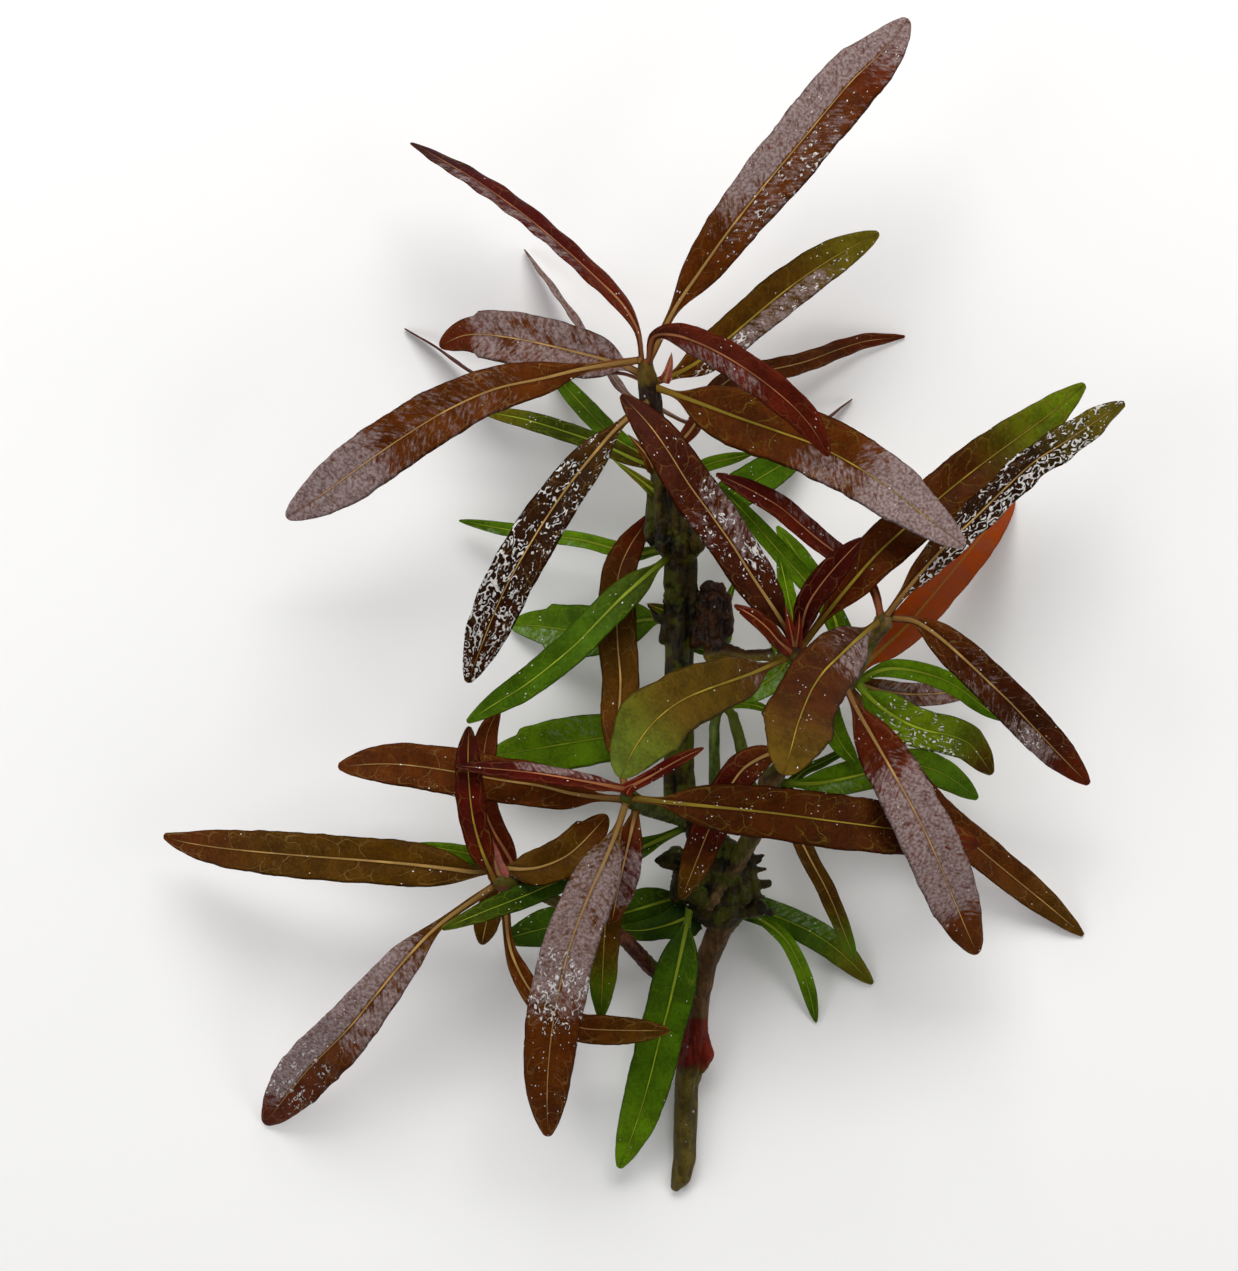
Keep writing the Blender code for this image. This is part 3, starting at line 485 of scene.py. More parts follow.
def side_columns(row, side, length, share, half, look, wave, seed):
    """The corners of one half of a ring, from the rib out: (spot, out, face, back)."""
    uneven = 0.05 * noise.noise(Vector((length * 0.33, side * 3.7, seed * 1.7)))
    uneven += 0.02 * noise.noise(Vector((length * 1.3, side * 9.1, seed * 0.9)))
    half = max(0.02, half * (1.0 + uneven * smooth_step(0.1, 0.3, share)))
    rib = min(rib_size(share), half)
    wing = max(half - rib, 0.0)
    calm = smooth_step(0.1, 0.3, share) * smooth_step(1.0, 0.9, share) * min(1.0, half / 4.0)
    period, phase = wave
    lift = look.wave * calm * math.sin(length / period * math.tau + phase)
    columns = []
    for spot in [rib * column for column in RIB_COLUMNS] + [rib + wing * column
                                                            for column in WING_COLUMNS]:
        out = min(1.0, spot / half)
        round_rib = max(0.0, 1.0 - (spot / rib) ** 2)
        height = row.rise * out ** 1.4 + lift * out ** 3 - 0.05 * half * out ** 6
        height += 0.05 * half * math.sin(math.pi * out) * (1 - share)
        thick = BLADE_THICKNESS * (1 - 0.55 * out ** 2) * (0.35 + 0.65 * wing / (wing + 0.6))
        groove = 0.25 * rib * (1 - smooth_step(rib, rib * 2.4, spot))
        base = row.place + row.across * (side * spot)
        face = base + row.face * (height - groove + thick / 2 + 0.28 * rib * round_rib)
        back = base + row.face * (height - thick / 2 - 0.95 * rib * math.sqrt(round_rib))
        columns.append((side * spot, out, face, back))
    return columns


def blade_mesh(shape, rows, look, seed, layers):
    """Adds one blade to a bmesh. layers holds the attributes that the materials read."""
    lengths = [0.0]
    for before, here in zip(rows, rows[1:]):
        lengths.append(lengths[-1] + (here.place - before.place).length)
    total = lengths[-1]
    draw = random.Random(seed)
    waves = [(draw.uniform(6.0, 9.5), draw.uniform(0, math.tau)) for _ in range(2)]
    rings = []
    for row, length in zip(rows, lengths):
        share = length / total
        half = max(0.02, blunted(row.half, share, total - length, look.blunt))
        left = side_columns(row, -1, length, share, half, look, waves[0], seed)
        right = side_columns(row, 1, length, share, half, look, waves[1], seed)
        face = [column[:2] + (column[2],) for column in left[:0:-1] + right]
        back = [column[:2] + (column[3],) for column in right[-2::-1] + left[1:-1]]
        ring = []
        for spot, out, place in face + back:
            vertex = shape.verts.new(place * MM)
            vertex[layers["blade"]] = Vector((spot, length, min(rib_size(share), half)))
            vertex[layers["share"]] = Vector((share, out, half))
            ring.append(vertex)
        rings.append(ring)
    columns = len(rings[0])
    upper = 2 * (len(RIB_COLUMNS) + len(WING_COLUMNS) - 1)
    for before, after in zip(rings, rings[1:]):
        for index in range(columns):
            following = (index + 1) % columns
            face = shape.faces.new((before[index], before[following], after[following],
                                    after[index]))
            face[layers["upper"]] = 1.0 if index < upper else 0.0
            face.smooth = True
    for ring in (rings[0], list(reversed(rings[-1]))):
        face = shape.faces.new(list(reversed(ring)))
        face[layers["upper"]] = 0.0
        face.smooth = True


def with_layers(shape):
    return {
        "blade": shape.verts.layers.float_vector.new("blade"),
        "share": shape.verts.layers.float_vector.new("share"),
        "upper": shape.faces.layers.float.new("upper"),
    }


def sunk_foot(stations):
    """The foot carried on into the stem, so that the petiole grows out of it."""
    outward = (stations[1].place - stations[0].place).normalized()
    near = stations[1]
    start = Station(stations[0].place - outward * FOOT_SINK, near.across, near.face,
                    near.half * 1.35, 0.0)
    root = Station(stations[0].place, near.across, near.face, near.half * 1.12, 0.0)
    return [start, root] + stations[1:]


def leaf_object(name, stations, look, seed):
    shape = bmesh.new()
    layers = with_layers(shape)
    rows = fine_rows(right_handed(sunk_foot(stations)))
    blade_mesh(shape, rows, look, seed, layers)
    bmesh.ops.remove_doubles(shape, verts=shape.verts, dist=1e-7)
    bmesh.ops.recalc_face_normals(shape, faces=shape.faces)
    mesh = bpy.data.meshes.new(name)
    shape.to_mesh(mesh)
    shape.free()
    leaf = bpy.data.objects.new(name, mesh)
    bpy.context.scene.collection.objects.link(leaf)
    leaf.data.materials.append(leaf_material(name, look, seed))
    return leaf


# Materials.


class Nodes:
    """Short names for adding and linking shader nodes."""

    def __init__(self, name):
        self.material = bpy.data.materials.new(name)
        self.material.use_nodes = True
        self.tree = self.material.node_tree
        self.shader = self.tree.nodes["Principled BSDF"]

    def put(self, socket, value):
        if isinstance(value, bpy.types.NodeSocket):
            self.tree.links.new(value, socket)
        elif isinstance(value, tuple) and len(value) == 3 and socket.type == "RGBA":
            socket.default_value = value + (1.0,)
        else:
            socket.default_value = value

    def math(self, operation, one, other=0.0, clamp=False):
        node = self.tree.nodes.new("ShaderNodeMath")
        node.operation = operation
        node.use_clamp = clamp
        self.put(node.inputs[0], one)
        self.put(node.inputs[1], other)
        return node.outputs[0]

    def ramp(self, value, low, high):
        """0 below low and 1 above high, with a smooth rise between. low may be above high."""
        node = self.tree.nodes.new("ShaderNodeMapRange")
        node.interpolation_type = "SMOOTHSTEP"
        self.put(node.inputs["Value"], value)
        start, end = (0.0, 1.0) if low < high else (1.0, 0.0)
        node.inputs["From Min"].default_value = min(low, high)
        node.inputs["From Max"].default_value = max(low, high)
        node.inputs["To Min"].default_value = start
        node.inputs["To Max"].default_value = end
        return node.outputs[0]

    def mix(self, share, one, other):
        node = self.tree.nodes.new("ShaderNodeMix")
        node.data_type = "RGBA"
        self.put(node.inputs["Factor"], share)
        self.put(node.inputs[6], one)
        self.put(node.inputs[7], other)
        return node.outputs[2]

    def multiply(self, share, one, other):
        node = self.tree.nodes.new("ShaderNodeMix")
        node.data_type = "RGBA"
        node.blend_type = "MULTIPLY"
        self.put(node.inputs["Factor"], share)
        self.put(node.inputs[6], one)
        self.put(node.inputs[7], other)
        return node.outputs[2]

    def attribute(self, name):
        node = self.tree.nodes.new("ShaderNodeAttribute")
        node.attribute_name = name
        return node

    def split(self, vector):
        node = self.tree.nodes.new("ShaderNodeSeparateXYZ")
        self.put(node.inputs[0], vector)
        return node.outputs

    def joined(self, x, y, z):
        node = self.tree.nodes.new("ShaderNodeCombineXYZ")
        self.put(node.inputs[0], x)
        self.put(node.inputs[1], y)
        self.put(node.inputs[2], z)
        return node.outputs[0]

    def noise(self, vector, scale, detail=3.0, roughness=0.55):
        node = self.tree.nodes.new("ShaderNodeTexNoise")
        self.put(node.inputs["Vector"], vector)
        node.inputs["Scale"].default_value = scale
        node.inputs["Detail"].default_value = detail
        node.inputs["Roughness"].default_value = roughness
        return node.outputs["Fac"]

    def cells(self, vector, scale, feature="F1"):
        node = self.tree.nodes.new("ShaderNodeTexVoronoi")
        node.feature = feature
        self.put(node.inputs["Vector"], vector)
        node.inputs["Scale"].default_value = scale
        return node.outputs

    def bump(self, height, strength, distance):
        node = self.tree.nodes.new("ShaderNodeBump")
        node.inputs["Strength"].default_value = strength
        node.inputs["Distance"].default_value = distance
        self.put(node.inputs["Height"], height)
        return node.outputs[0]

    def add(self, one, other):
        return self.math("ADD", one, other)

    def times(self, one, other):
        return self.math("MULTIPLY", one, other)

    def minus(self, one, other):
        return self.math("SUBTRACT", one, other)


def vein_mask(nodes, across, along, out, half, flat):
    """Side veins that leave the rib and join in arches along the edges, and where they lie."""
    reach = nodes.math("ABSOLUTE", across)
    side = nodes.ramp(across, -0.01, 0.01)
    bend = nodes.times(half, nodes.add(nodes.times(out, 0.6),
                                       nodes.times(nodes.math("POWER", out, 3.0), 0.5)))
    wander = nodes.add(nodes.times(nodes.noise(flat, 0.22, 1.0), 6.0),
                       nodes.times(nodes.noise(flat, 0.9, 2.0), 1.1))
    place = nodes.add(nodes.minus(along, bend), nodes.add(wander, nodes.times(side, 2.1)))
    phase = nodes.math("FRACT", nodes.math("DIVIDE", place, VEIN_STEP))
    off = nodes.times(nodes.math("ABSOLUTE", nodes.minus(phase, 0.5)), VEIN_STEP)
    straight = nodes.times(nodes.ramp(off, 0.15, 0.05), nodes.ramp(out, 0.74, 0.6))
    between = nodes.math("FRACT", nodes.add(phase, 0.5))
    crest = nodes.add(nodes.times(nodes.math("SINE", nodes.times(between, math.pi)), 0.26), 0.6)
    arch_gap = nodes.times(nodes.math("ABSOLUTE", nodes.minus(out, crest)), half)
    arches = nodes.ramp(arch_gap, 0.16, 0.05)
    net = nodes.math("ABSOLUTE", nodes.minus(nodes.noise(flat, 0.55, 2.0, 0.6), 0.5))
    fine = nodes.times(nodes.ramp(net, 0.016, 0.005), nodes.ramp(reach, 0.6, 1.2))
    veins = nodes.math("MAXIMUM", straight, nodes.times(arches, 0.8))
    return nodes.math("MAXIMUM", veins, nodes.times(fine, 0.55)), phase


def stretch_mask(nodes, stretches, across, share):
    """Each stretch's strength inside it, falling to nothing away from it."""
    total = 0.0
    for start, end, side, strength in stretches:
        inside = nodes.times(nodes.ramp(share, start - 0.12, start + 0.12), strength)
        if end < 1.0:
            inside = nodes.times(inside, nodes.ramp(share, end + 0.1, end - 0.1))
        if side:
            inside = nodes.times(inside, nodes.ramp(nodes.times(across, float(side)), -0.5, 0.7))
        total = nodes.math("MAXIMUM", inside, total)
    return total


def film_mask(nodes, look, across, along, share, flat, seed):
    """Where the blade's face carries the painted greyish reflection: whole inside, and in dashes at
    its ends.
    """
    reach = nodes.math("ABSOLUTE", across)
    slanted = nodes.times(nodes.minus(along, nodes.times(reach, 0.8)), 1.5)
    dashes = nodes.noise(nodes.joined(slanted, nodes.times(across, 0.6), seed), 1.0, 3.0, 0.6)
    patches = nodes.noise(flat, 0.5, 3.0, 0.6)
    broken = nodes.add(nodes.times(dashes, 0.6), nodes.times(patches, 0.4))
    window = stretch_mask(nodes, look.film, across, share)
    cover = nodes.add(window, nodes.times(nodes.minus(broken, 0.5), 2.6))
    whole = nodes.times(nodes.ramp(cover, 0.42, 0.92), nodes.ramp(window, 0.05, 0.3))
    flecks = nodes.ramp(nodes.noise(flat, 1.0, 4.0, 0.65), 0.34, 0.48)
    whole = nodes.times(whole, nodes.add(0.66, nodes.times(flecks, 0.34)))
    return nodes.times(whole, nodes.add(0.25, nodes.times(window, 0.75)))


def wet_gleam(nodes, look, across, along, share, flat, turn):
    """Painted highlights: small bright beads in clusters and a maze of bright lines over the wet
    stretches, and painted shade in the dark pools between the lines."""
    drawn_out = nodes.joined(nodes.times(across, 1.25), nodes.times(along, 0.75), turn)
    bead = nodes.cells(drawn_out, 1.35, "F1")
    chance = nodes.times(nodes.ramp(nodes.noise(flat, 0.13, 2.0), 0.40, 0.60), 2.0 * look.specks)
    chosen = nodes.math("GREATER_THAN", nodes.add(nodes.split(bead["Color"])[0], chance), 1.0)
    size = nodes.add(nodes.times(nodes.split(bead["Color"])[1], 0.18), 0.02)
    ragged = nodes.noise(flat, 1.4, 2.5, 0.6)
    edge = nodes.add(nodes.minus(bead["Distance"], size), nodes.times(ragged, 0.22))
    bead_highlights = nodes.times(nodes.ramp(edge, 0.15, 0.08), chosen)
    if not look.wet:
        return bead_highlights, 0.0
    window = stretch_mask(nodes, look.wet, across, share)
    turns = nodes.math("FRACT", nodes.times(nodes.noise(drawn_out, 0.66, 1.5, 0.5), 5.0))
    lines = nodes.ramp(nodes.math("ABSOLUTE", nodes.minus(turns, 0.5)), 0.26, 0.15)
    patches = nodes.add(nodes.noise(drawn_out, 0.75, 3.0, 0.65),
                        nodes.times(nodes.minus(window, 1.0), 0.34))
    inside = nodes.times(nodes.ramp(patches, 0.40, 0.47), nodes.ramp(window, 0.05, 0.3))
    dull = nodes.add(nodes.times(nodes.noise(flat, 0.9, 2.0), 1.2), 0.15)
    highlight_maze = nodes.times(nodes.times(lines, inside), dull)
    return nodes.math("MAXIMUM", bead_highlights, nodes.math("MINIMUM", highlight_maze, 1.0)), inside


def leaf_body(nodes, look, share, flat):
    """The blade's colour from foot to tip, unevenly light and dark."""
    body = nodes.mix(nodes.ramp(share, 0.05, 0.45), look.foot, look.middle)
    body = nodes.mix(nodes.ramp(share, 0.6, 0.95), body, look.tip)
    mottle = nodes.add(nodes.times(nodes.noise(flat, 0.2, 4.0), 0.65),
                       nodes.times(nodes.noise(flat, 1.6, 3.0), 0.35))
    shade = nodes.mix(nodes.ramp(mottle, 0.36, 0.64), MOTTLE_DARK, MOTTLE_LIGHT)
    return nodes.multiply(0.85, body, shade), mottle


def leaf_material(name, look, seed):
    nodes = Nodes(name)
    blade = nodes.split(nodes.attribute("blade").outputs["Vector"])
    shares = nodes.split(nodes.attribute("share").outputs["Vector"])
    upper = nodes.attribute("upper").outputs["Fac"]
    across, along, rib_half = blade[0], blade[1], blade[2]
    share, out, half = shares[0], shares[1], shares[2]
    turn = float(seed % 97) * 7.3
    flat = nodes.joined(across, along, turn)

    body, mottle = leaf_body(nodes, look, share, flat)
    veins, phase = vein_mask(nodes, across, along, out, half, flat)
    veins = nodes.times(veins, nodes.ramp(nodes.noise(flat, 0.16, 2.0), 0.36, 0.56))
    vein_colour = tuple(0.55 * one + 0.45 * other for one, other in zip(look.rib, look.middle))
    colour = nodes.mix(nodes.times(veins, 0.15 + 0.6 * look.veins), body, vein_colour)
    in_rib = nodes.math("DIVIDE", nodes.math("ABSOLUTE", across),
                        nodes.math("MAXIMUM", rib_half, 0.05))
    rib = nodes.times(nodes.ramp(in_rib, 0.95, 0.55), nodes.ramp(share, 1.0, 0.86))
    # Painted shade: darker bands in the grooves beside the rib, also kept clear of the painted
    # sheen.
    rib_groove_shade = nodes.times(nodes.ramp(in_rib, 2.8, 1.1), nodes.ramp(out, 0.7, 0.4))
    colour = nodes.mix(nodes.times(rib_groove_shade, 0.4), colour, tuple(0.3 * value
                                                               for value in look.middle))
    # Painted highlight: patches of the rib drawn brighter.
    rib_highlight = tuple(1.6 * value for value in look.rib)
    dull_rib = tuple(0.5 * one + 0.5 * other for one, other in zip(look.rib, look.foot))
    rib_colour = nodes.mix(nodes.ramp(share, 0.02, 0.2), dull_rib, look.rib)
    rib_colour = nodes.mix(nodes.times(nodes.ramp(nodes.noise(flat, 0.12, 1.0), 0.5, 0.62),
                                       nodes.ramp(share, 0.1, 0.3)), rib_colour, rib_highlight)
    colour = nodes.mix(nodes.times(rib, 0.95), colour, rib_colour)
    rim = nodes.ramp(out, 0.94, 1.0)
    colour = nodes.mix(nodes.times(rim, 0.6), colour, tuple(0.35 * value for value in look.middle))

    is_green = look.middle[1] > look.middle[0]
    pale = tuple(0.5 * value + 0.5 * light
                 for value, light in zip(look.middle, UNDER_GREEN if is_green else UNDER_RED))
    under = nodes.mix(nodes.ramp(mottle, 0.36, 0.64), look.middle, pale)
    under = nodes.mix(nodes.times(veins, 0.3), under, vein_colour)
    under = nodes.mix(nodes.times(rib, 0.7), under, look.rib)
    colour = nodes.mix(upper, under, colour)

    grain = nodes.noise(flat, 3.2, 3.0)
    gleam, pool_shade = wet_gleam(nodes, look, across, along, share, flat, turn)
    gleam = nodes.times(gleam, upper)
    # Painted shade: the pools between the painted highlight lines are darkened.
    pool_shade = nodes.times(nodes.times(pool_shade, upper), 0.6)
    colour = nodes.mix(pool_shade, colour, tuple(0.3 * value for value in look.middle))
    # Painted reflection: a greyish sheen laid over the colour in grains and dashes.
    if look.film:
        film = nodes.times(film_mask(nodes, look, across, along, share, flat, turn), upper)
        film = nodes.times(film, nodes.minus(0.94, nodes.times(rib, 0.7)))
        film = nodes.times(film, nodes.minus(1.0, nodes.times(rib_groove_shade, 0.45)))
        film_dark = GREEN_PAINTED_SHEEN_DARK if is_green else PAINTED_SHEEN_DARK
        film_light = GREEN_PAINTED_SHEEN_LIGHT if is_green else PAINTED_SHEEN_LIGHT
        film_colour = nodes.mix(nodes.ramp(nodes.noise(flat, 1.8, 3.0), 0.36, 0.62), film_dark,
                                film_light)
        colour = nodes.mix(film, colour, film_colour)
    # Painted highlights: the bright beads and lines drawn in white.
    colour = nodes.mix(nodes.times(gleam, 0.9), colour, HIGHLIGHT_WHITE)
    rough = nodes.add(0.34, nodes.times(grain, 0.16))
    rough = nodes.minus(rough, nodes.times(gleam, 0.2))
    rough = nodes.add(rough, nodes.times(nodes.minus(1.0, upper), 0.12))

    swell = nodes.math("ABSOLUTE", nodes.minus(phase, 0.5))
    relief = nodes.add(nodes.times(swell, 0.6), nodes.times(veins, -0.3))
    relief = nodes.add(relief, nodes.times(grain, 0.3))
    relief = nodes.add(relief, nodes.times(gleam, 0.6))
    normal = nodes.bump(relief, 0.7, 0.0004)
    nodes.put(nodes.shader.inputs["Base Color"], colour)
    nodes.put(nodes.shader.inputs["Roughness"], rough)
    nodes.put(nodes.shader.inputs["Normal"], normal)
    nodes.put(nodes.shader.inputs["Coat Weight"], nodes.times(gleam, 0.8))
    nodes.shader.inputs["Coat Roughness"].default_value = 0.12
    nodes.shader.inputs["Specular IOR Level"].default_value = 0.04
    return nodes.material


def stem_material(name, skin):
    """A ribbed stem skin that is blotched, with bands of other colours along the plant."""
    nodes = Nodes(name)
    place = nodes.tree.nodes.new("ShaderNodeTexCoord").outputs["Object"]
    mapping = nodes.tree.nodes.new("ShaderNodeMapping")
    mapping.vector_type = "TEXTURE"
    nodes.put(mapping.inputs["Vector"], place)
    mapping.inputs["Rotation"].default_value = (0.0, 0.0, skin.turn)
    mapping.inputs["Scale"].default_value = (1.0, 9.0, 1.0)
    ridges = nodes.noise(mapping.outputs[0], 900.0, 3.0)
    blotches = nodes.noise(place, 240.0, 4.0, 0.65)
    specks = nodes.cells(place, 900.0, "F1")["Distance"]
    shade = nodes.ramp(nodes.add(nodes.times(blotches, 0.6), nodes.times(ridges, 0.4)), 0.4, 0.62)
    colour = nodes.mix(shade, skin.dark, skin.light)
    stained = nodes.ramp(nodes.noise(place, 190.0, 3.0, 0.6), 0.47, 0.58)
    colour = nodes.mix(nodes.times(stained, 0.75), colour, skin.stain)
    along = nodes.add(nodes.times(nodes.split(place)[1], 1000.0), nodes.times(blotches, 3.0))
    for low, high, band in skin.bands:
        inside = nodes.times(nodes.ramp(along, low + 0.5, low + 2.5),
                             nodes.ramp(along, high + 2.5, high + 0.5))
        band_colour = nodes.mix(shade, tuple(0.55 * value for value in band),
                                tuple(1.25 * value for value in band))
        colour = nodes.mix(inside, colour, band_colour)
    colour = nodes.mix(nodes.times(nodes.ramp(specks, 0.3, 0.1), 0.15 + 0.3 * skin.knotty),
                       colour, tuple(0.5 * value for value in skin.dark))
    glint = nodes.cells(place, 640.0, "F1")
    glints = nodes.times(nodes.ramp(nodes.add(glint["Distance"], blotches), 0.62, 0.52),
                         nodes.math("GREATER_THAN", nodes.split(glint["Color"])[0], 0.88))
    colour = nodes.mix(nodes.times(glints, 0.5 * skin.knotty), colour, HIGHLIGHT_WHITE)
    rough = nodes.add(0.32, nodes.times(blotches, 0.3))
    relief = nodes.add(nodes.times(ridges, 0.7), nodes.times(blotches, 0.5 + skin.knotty))
    normal = nodes.bump(relief, 0.8, 0.0005)
    nodes.put(nodes.shader.inputs["Base Color"], colour)
    nodes.put(nodes.shader.inputs["Roughness"], rough)
    nodes.put(nodes.shader.inputs["Normal"], normal)
    nodes.shader.inputs["Coat Weight"].default_value = 0.04
    nodes.shader.inputs["Coat Roughness"].default_value = 0.18
    nodes.shader.inputs["Specular IOR Level"].default_value = 0.1
    return nodes.material


def plain_material(name, colour, roughness):
    nodes = Nodes(name)
    nodes.put(nodes.shader.inputs["Base Color"], colour)
    nodes.shader.inputs["Roughness"].default_value = roughness
    nodes.shader.inputs["Specular IOR Level"].default_value = 0.1
    return nodes.material


# Stems.


class Skin:
    """A stem's dark, light and stain colours, the way it runs as an angle in the floor's plane,
    how knotty it is, bands of other colours (from, to, colour) along the plant in millimetres,
    and strands (start, end, radius at the start, radius at the end) that thicken it: leaf bases,
    scars, buds and dead roots, some of them across its joints.
    """

    def __init__(self, dark, light, turn=0.0, knotty=0.1, bands=(), strands=(),
                 stain=OLIVE_STAIN):
        self.dark = dark
        self.light = light
        self.stain = stain
        self.turn = turn
        self.knotty = knotty
        self.bands = bands
        self.strands = strands


STEM_SKINS = {
    "stem_lower": Skin(
        srgb(14, 12, 2), srgb(52, 42, 8), 0.05, 0.8,
        bands=((-110.0, -83.5, srgb(82, 70, 26)), (-83.5, -74.0, srgb(98, 24, 7)),
               (-74.0, -57.0, srgb(84, 60, 34))),
        strands=(((8.6, -53.2, 13.4), (14.5, -55.6, 13.0), 1.5, 1.3),
                 ((14.5, -55.6, 13.0), (20.6, -54.4, 12.8), 1.3, 1.5),
                 ((19.0, -54.0, 12.6), (22.6, -55.2, 12.0), 1.1, 0.7),
                 ((18.2, -44.4, 14.4), (19.6, -52.0, 13.2), 1.3, 1.2),
                 ((18.9, -45.6, 14.2), (21.3, -44.9, 14.4), 0.8, 0.25),
                 ((19.1, -47.6, 13.8), (21.7, -47.3, 13.8), 0.8, 0.25),
                 ((19.3, -49.6, 13.4), (22.2, -49.9, 13.0), 0.9, 0.25),
                 ((19.2, -51.6, 13.0), (21.4, -52.4, 12.8), 0.8, 0.3),
                 ((5.6, -44.8, 14.4), (2.2, -45.8, 14.6), 1.7, 0.5),
                 ((6.4, -48.6, 13.6), (5.6, -52.2, 13.0), 1.7, 1.3),
                 ((8.6, -44.0, 16.2), (9.6, -52.0, 16.0), 1.5, 1.2),
                 ((12.0, -43.6, 16.6), (8.6, -50.8, 16.4), 1.2, 0.9),
                 ((14.8, -46.0, 16.4), (18.2, -52.6, 14.6), 1.3, 1.1),
                 ((10.0, -75.6, 5.6), (11.0, -80.8, 6.0), 1.0, 1.5),
                 ((11.0, -80.8, 6.0), (10.4, -83.8, 5.6), 1.5, 0.4),
                 ((6.4, -79.6, 5.6), (7.0, -82.8, 5.0), 0.9, 0.7))),
    "stem_middle": Skin(
        srgb(6, 5, 1), srgb(44, 34, 6), 0.0, 0.9,
        strands=(((10.2, -43.0, 14.4), (9.4, -38.6, 16.0), 2.7, 2.4),
                 ((6.2, 8.4, 23.8), (6.4, 2.4, 22.8), 2.3, 2.2),
                 ((4.4, 8.2, 24.6), (4.6, -3.0, 23.4), 1.0, 1.2),
                 ((8.2, 8.2, 24.4), (8.6, -4.0, 22.6), 1.1, 1.2),
                 ((6.0, 7.0, 25.6), (6.6, -10.0, 22.6), 0.9, 1.1),
                 ((4.8, -2.6, 22.6), (2.4, -2.0, 22.8), 1.5, 1.0),
                 ((2.4, -1.8, 22.8), (0.4, 0.5, 23.4), 0.9, 0.2),
                 ((4.2, -3.0, 22.0), (3.2, -6.2, 21.6), 1.3, 0.8),
                 ((7.8, -21.0, 19.4), (7.9, -30.0, 18.0), 1.0, 0.9),
                 ((4.6, -16.0, 20.8), (4.4, -34.0, 17.6), 1.0, 1.1))),
    "stem_upper": Skin(
        srgb(10, 8, 1), srgb(64, 50, 6), 0.0, 0.9,
        bands=((24.0, 33.0, srgb(62, 56, 12)), (33.0, 42.0, srgb(38, 19, 5)),
               (42.0, 52.0, srgb(86, 66, 16))),
        strands=(((1.6, 12.6, 25.0), (1.2, 21.4, 26.8), 1.7, 0.8),
                 ((3.4, 10.8, 27.6), (2.4, 21.6, 28.8), 1.4, 0.8),
                 ((6.2, 9.8, 28.0), (4.2, 22.0, 29.0), 1.4, 0.8),
                 ((9.2, 11.0, 26.8), (6.6, 20.6, 27.6), 1.6, 0.9),
                 ((7.6, 9.0, 25.4), (9.6, 14.6, 25.6), 1.6, 1.3),
                 ((4.4, 9.4, 24.0), (2.0, 15.0, 24.0), 1.6, 1.3),
                 ((6.2, 9.0, 24.4), (6.2, 5.6, 23.6), 2.2, 1.7),
                 ((0.2, 41.6, 30.0), (1.4, 36.4, 30.4), 1.4, 1.0))),
    "branch_right": Skin(
        srgb(56, 42, 18), srgb(118, 92, 54), -0.6, 0.2,
        strands=(((20.2, -39.6, 16.4), (16.6, -46.0, 16.4), 1.7, 1.7),
                 ((16.6, -46.0, 16.4), (11.6, -53.6, 15.2), 1.7, 1.3),
                 ((21.6, -34.6, 18.8), (22.4, -31.0, 20.4), 1.7, 2.0))),
    "branch_inner": Skin(
        srgb(12, 6, 1), srgb(54, 28, 8), -1.2, 0.6, stain=BROWN_STAIN,
        bands=((-40.0, -6.5, srgb(112, 94, 28)),),
        strands=(((10.4, 0.8, 23.0), (11.2, -4.8, 23.6), 1.6, 1.5),
                 ((9.0, 1.8, 22.4), (9.2, -6.4, 22.8), 1.3, 1.4),
                 ((14.0, 1.6, 22.6), (14.4, -4.4, 23.4), 1.4, 1.5),
                 ((11.4, 3.2, 23.0), (13.4, 3.0, 23.2), 1.4, 1.2),
                 ((12.4, 1.0, 24.6), (12.6, -5.0, 25.2), 1.4, 1.2),
                 ((8.4, -2.8, 22.4), (12.2, -7.2, 24.0), 1.1, 1.3),
                 ((12.0, -8.6, 24.6), (14.8, -8.4, 26.2), 1.6, 1.2))),
    "branch_left": Skin(
        srgb(56, 26, 16), srgb(108, 64, 44), 1.0, 0.1,
        strands=(((8.4, -70.0, 7.4), (5.4, -68.6, 9.0), 1.8, 1.6),)),
    "branch_centre": Skin(
        srgb(44, 50, 14), srgb(86, 90, 34), 1.0, 0.1,
        strands=(((6.8, -38.0, 16.6), (4.4, -37.6, 19.2), 1.7, 1.5),)),
    "shoot_thin": Skin(
        srgb(44, 58, 14), srgb(88, 98, 38), 0.0, 0.1,
        strands=(((12.7, -44.0, 17.2), (12.6, -40.0, 18.6), 1.3, 1.1),
                 ((20.4, -35.4, 18.8), (18.8, -32.0, 19.8), 1.3, 1.1))),
}
STEM_VOXEL = 0.24
KNOT_LUMP = 0.9
STRAND_SIDES = 14


def swollen(place, nearby):
    """How knotty the stem is at a place: 0 on the smooth stretches and 1 on the nodes."""
    return max((smooth_step(reach, reach * 0.5, (place - centre).length)
                for centre, reach in nearby), default=0.0)


KNOTS = [
    (Vector((13.8, -47.4, 13.0)), 10.0),
    (Vector((10.2, -36.0, 15.8)), 5.0),
    (Vector((7.6, 3.8, 22.4)), 5.5),
    (Vector((13.2, 2.2, 22.0)), 7.5),
    (Vector((7.2, 15.6, 24.8)), 8.0),
    (Vector((10.2, -77.6, 4.6)), 4.0),
]


